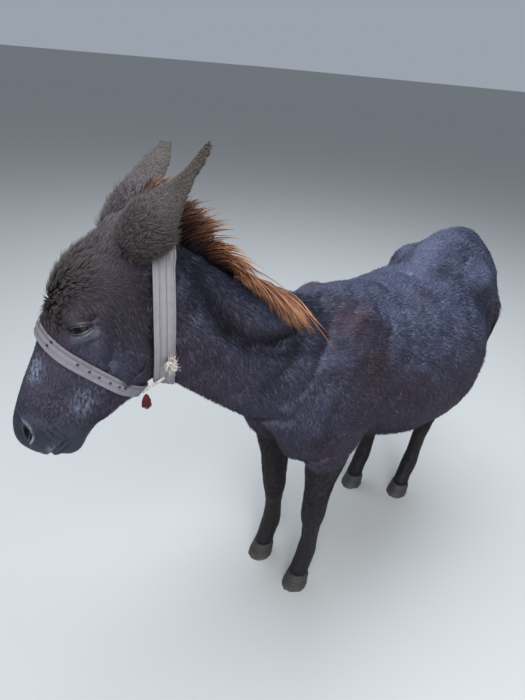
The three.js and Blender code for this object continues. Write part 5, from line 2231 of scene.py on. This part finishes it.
# ---------------------------------------------------------------- studio
@dataclass
class Studio:
    """A pale floor, soft lights and the camera."""

    eye: Triple = (-1.12, -0.703, 1.5)  # the camera's place
    heading: tuple[float, float] = (0.731, 0.682)  # where it looks, on the floor
    pitch: float = 29.5
    roll: float = 5.2
    lens: float = 25.97
    floor: float = 400.0

    def camera(self) -> None:
        """Places the camera at a standing person's eye height, looking down at the donkey."""
        pitch, roll = math.radians(self.pitch), math.radians(self.roll)
        flat = Vector((*self.heading, 0.0)).normalized()
        ahead = flat * math.cos(pitch) - Vector((0.0, 0.0, math.sin(pitch)))
        level = ahead.cross(Vector((0.0, 0.0, 1.0))).normalized()
        down = ahead.cross(level)
        right = level * math.cos(roll) - down * math.sin(roll)
        above = -(down * math.cos(roll) + level * math.sin(roll))
        data = bpy.data.cameras.new("camera")
        data.lens = self.lens
        data.sensor_width = 36.0
        data.clip_start, data.clip_end = 0.05, 1000.0
        obj = bpy.data.objects.new("camera", data)
        bpy.context.scene.collection.objects.link(obj)
        turn = Matrix((right, above, -ahead)).transposed()
        obj.matrix_world = Matrix.Translation(self.eye) @ turn.to_4x4()
        bpy.context.scene.camera = obj
        bpy.context.scene.view_settings.view_transform = "Standard"

    def lights(self) -> None:
        """Adds a soft sky and three large soft lamps."""
        world = bpy.data.worlds.new("sky")
        bpy.context.scene.world = world
        world.use_nodes = True
        sky = world.node_tree.nodes["Background"]
        sky.inputs["Color"].default_value = (0.78, 0.87, 1.0, 1.0)
        sky.inputs["Strength"].default_value = 0.42
        for name, place, size, power, colour in (
            ("key", (-1.9, -1.7, 3.3), 2.0, 120.0, (0.96, 0.98, 1.0)),
            ("top", (0.6, 0.5, 4.2), 3.2, 230.0, (0.86, 0.93, 1.0)),
            ("fill", (-1.5, -2.9, 1.2), 2.4, 34.0, (0.86, 0.92, 1.0)),
        ):
            data = bpy.data.lights.new(name, "AREA")
            data.size, data.energy, data.color = size, power, colour
            lamp = bpy.data.objects.new(name, data)
            lamp.location = place
            aim = Vector((0.0, 0.0, 0.6)) - Vector(place)
            lamp.rotation_euler = aim.to_track_quat("-Z", "Y").to_euler()
            bpy.context.scene.collection.objects.link(lamp)

    def ground(self) -> None:
        """Lays the plain pale floor."""
        half = self.floor / 2.0
        points = np.array([(-half, -half, 0.0), (half, -half, 0.0), (half, half, 0.0), (-half, half, 0.0)])
        floor = new_object("floor", points, np.arange(4), np.array([4]))
        finish = Finish("floor")
        floor.data.materials.append(finish.surface(Base_Color=(0.42, 0.42, 0.41), Roughness=0.9))


def main() -> None:
    """Builds the studio and the donkey."""
    logging.basicConfig(level=logging.INFO, format="%(message)s")
    studio = Studio()
    studio.camera()
    studio.lights()
    studio.ground()
    head = Head()
    skin = Skin(head)
    skin.build()
    pelt = Pelt(head, skin.form, skin.marks)
    pelt.measure()
    pelt.inset()
    Face(head).shape(skin.form)
    Folds().shape(skin.form, skin.marks)
    pelt = Pelt(head, skin.form, skin.marks)
    pelt.measure()
    pelt.comb()
    pelt.paint()
    look = CoatFinish()
    form = skin.form
    corners, sizes = form.faces.ravel(), np.full(len(form.faces), 3)
    dress(new_object("skin", form.points, corners, sizes, pelt.marks), look.skin(), "coat", *Skin.nodes())
    coat = Coat(pelt)
    ears = Ears(pelt)
    coat.grow(coat.patches(), look.tufts())
    coat.grow(ears.patches(), look.tufts())
    hair = LongHairFinish("mane_hair", (0.016, 0.012, 0.014), (0.17, 0.070, 0.038), (0.36, 0.17, 0.095))
    Mane(form).build(hair.material())
    dark = LongHairFinish("tail_hair", (0.012, 0.010, 0.011), (0.030, 0.022, 0.020), (0.09, 0.05, 0.03))
    dark_hair = dark.material()
    TailHair().build(dark_hair)
    rim = PlainFinish("lid_rim", (0.030, 0.028, 0.032), (0.10, 0.095, 0.10), 300.0, 0.25, 0.0001, 0.8)
    Eyes(head).build(EyeFinish().material(), rim.material(), dark_hair)
    Hooves().build(HoofFinish().material())
    webbing = {
        Weave.NOSE: WebbingFinish(Weave.NOSE, (0.185, 0.172, 0.195), (0.14, 0.12, 0.125), (0.12, 0.11, 0.13),
                                  1.0, 0.9).material(),
        Weave.NECK: WebbingFinish(Weave.NECK, (0.225, 0.217, 0.222), (0.19, 0.17, 0.175), (0.10, 0.09, 0.10),
                                  3.0, 0.7).material(),
    }
    eyelet = PlainFinish("eyelet", (0.012, 0.011, 0.012), (0.03, 0.027, 0.026), 400.0, 0.6)
    cord = PlainFinish("cord", (0.62, 0.58, 0.53), (0.30, 0.25, 0.21), 150.0, 0.85, 0.0005)
    wool = PlainFinish("wool", (0.13, 0.008, 0.016), (0.05, 0.006, 0.010), 220.0, 0.9, 0.0004)
    Halter(head).build(webbing, eyelet.material(), cord.material(), wool.material())


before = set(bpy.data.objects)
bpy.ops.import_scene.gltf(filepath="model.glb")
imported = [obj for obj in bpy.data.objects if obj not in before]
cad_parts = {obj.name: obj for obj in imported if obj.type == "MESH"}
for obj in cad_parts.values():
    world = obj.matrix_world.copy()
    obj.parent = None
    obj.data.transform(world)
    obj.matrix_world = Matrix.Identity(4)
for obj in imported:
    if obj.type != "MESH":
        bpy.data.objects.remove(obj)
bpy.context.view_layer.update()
if __name__ == "__main__":
    main()
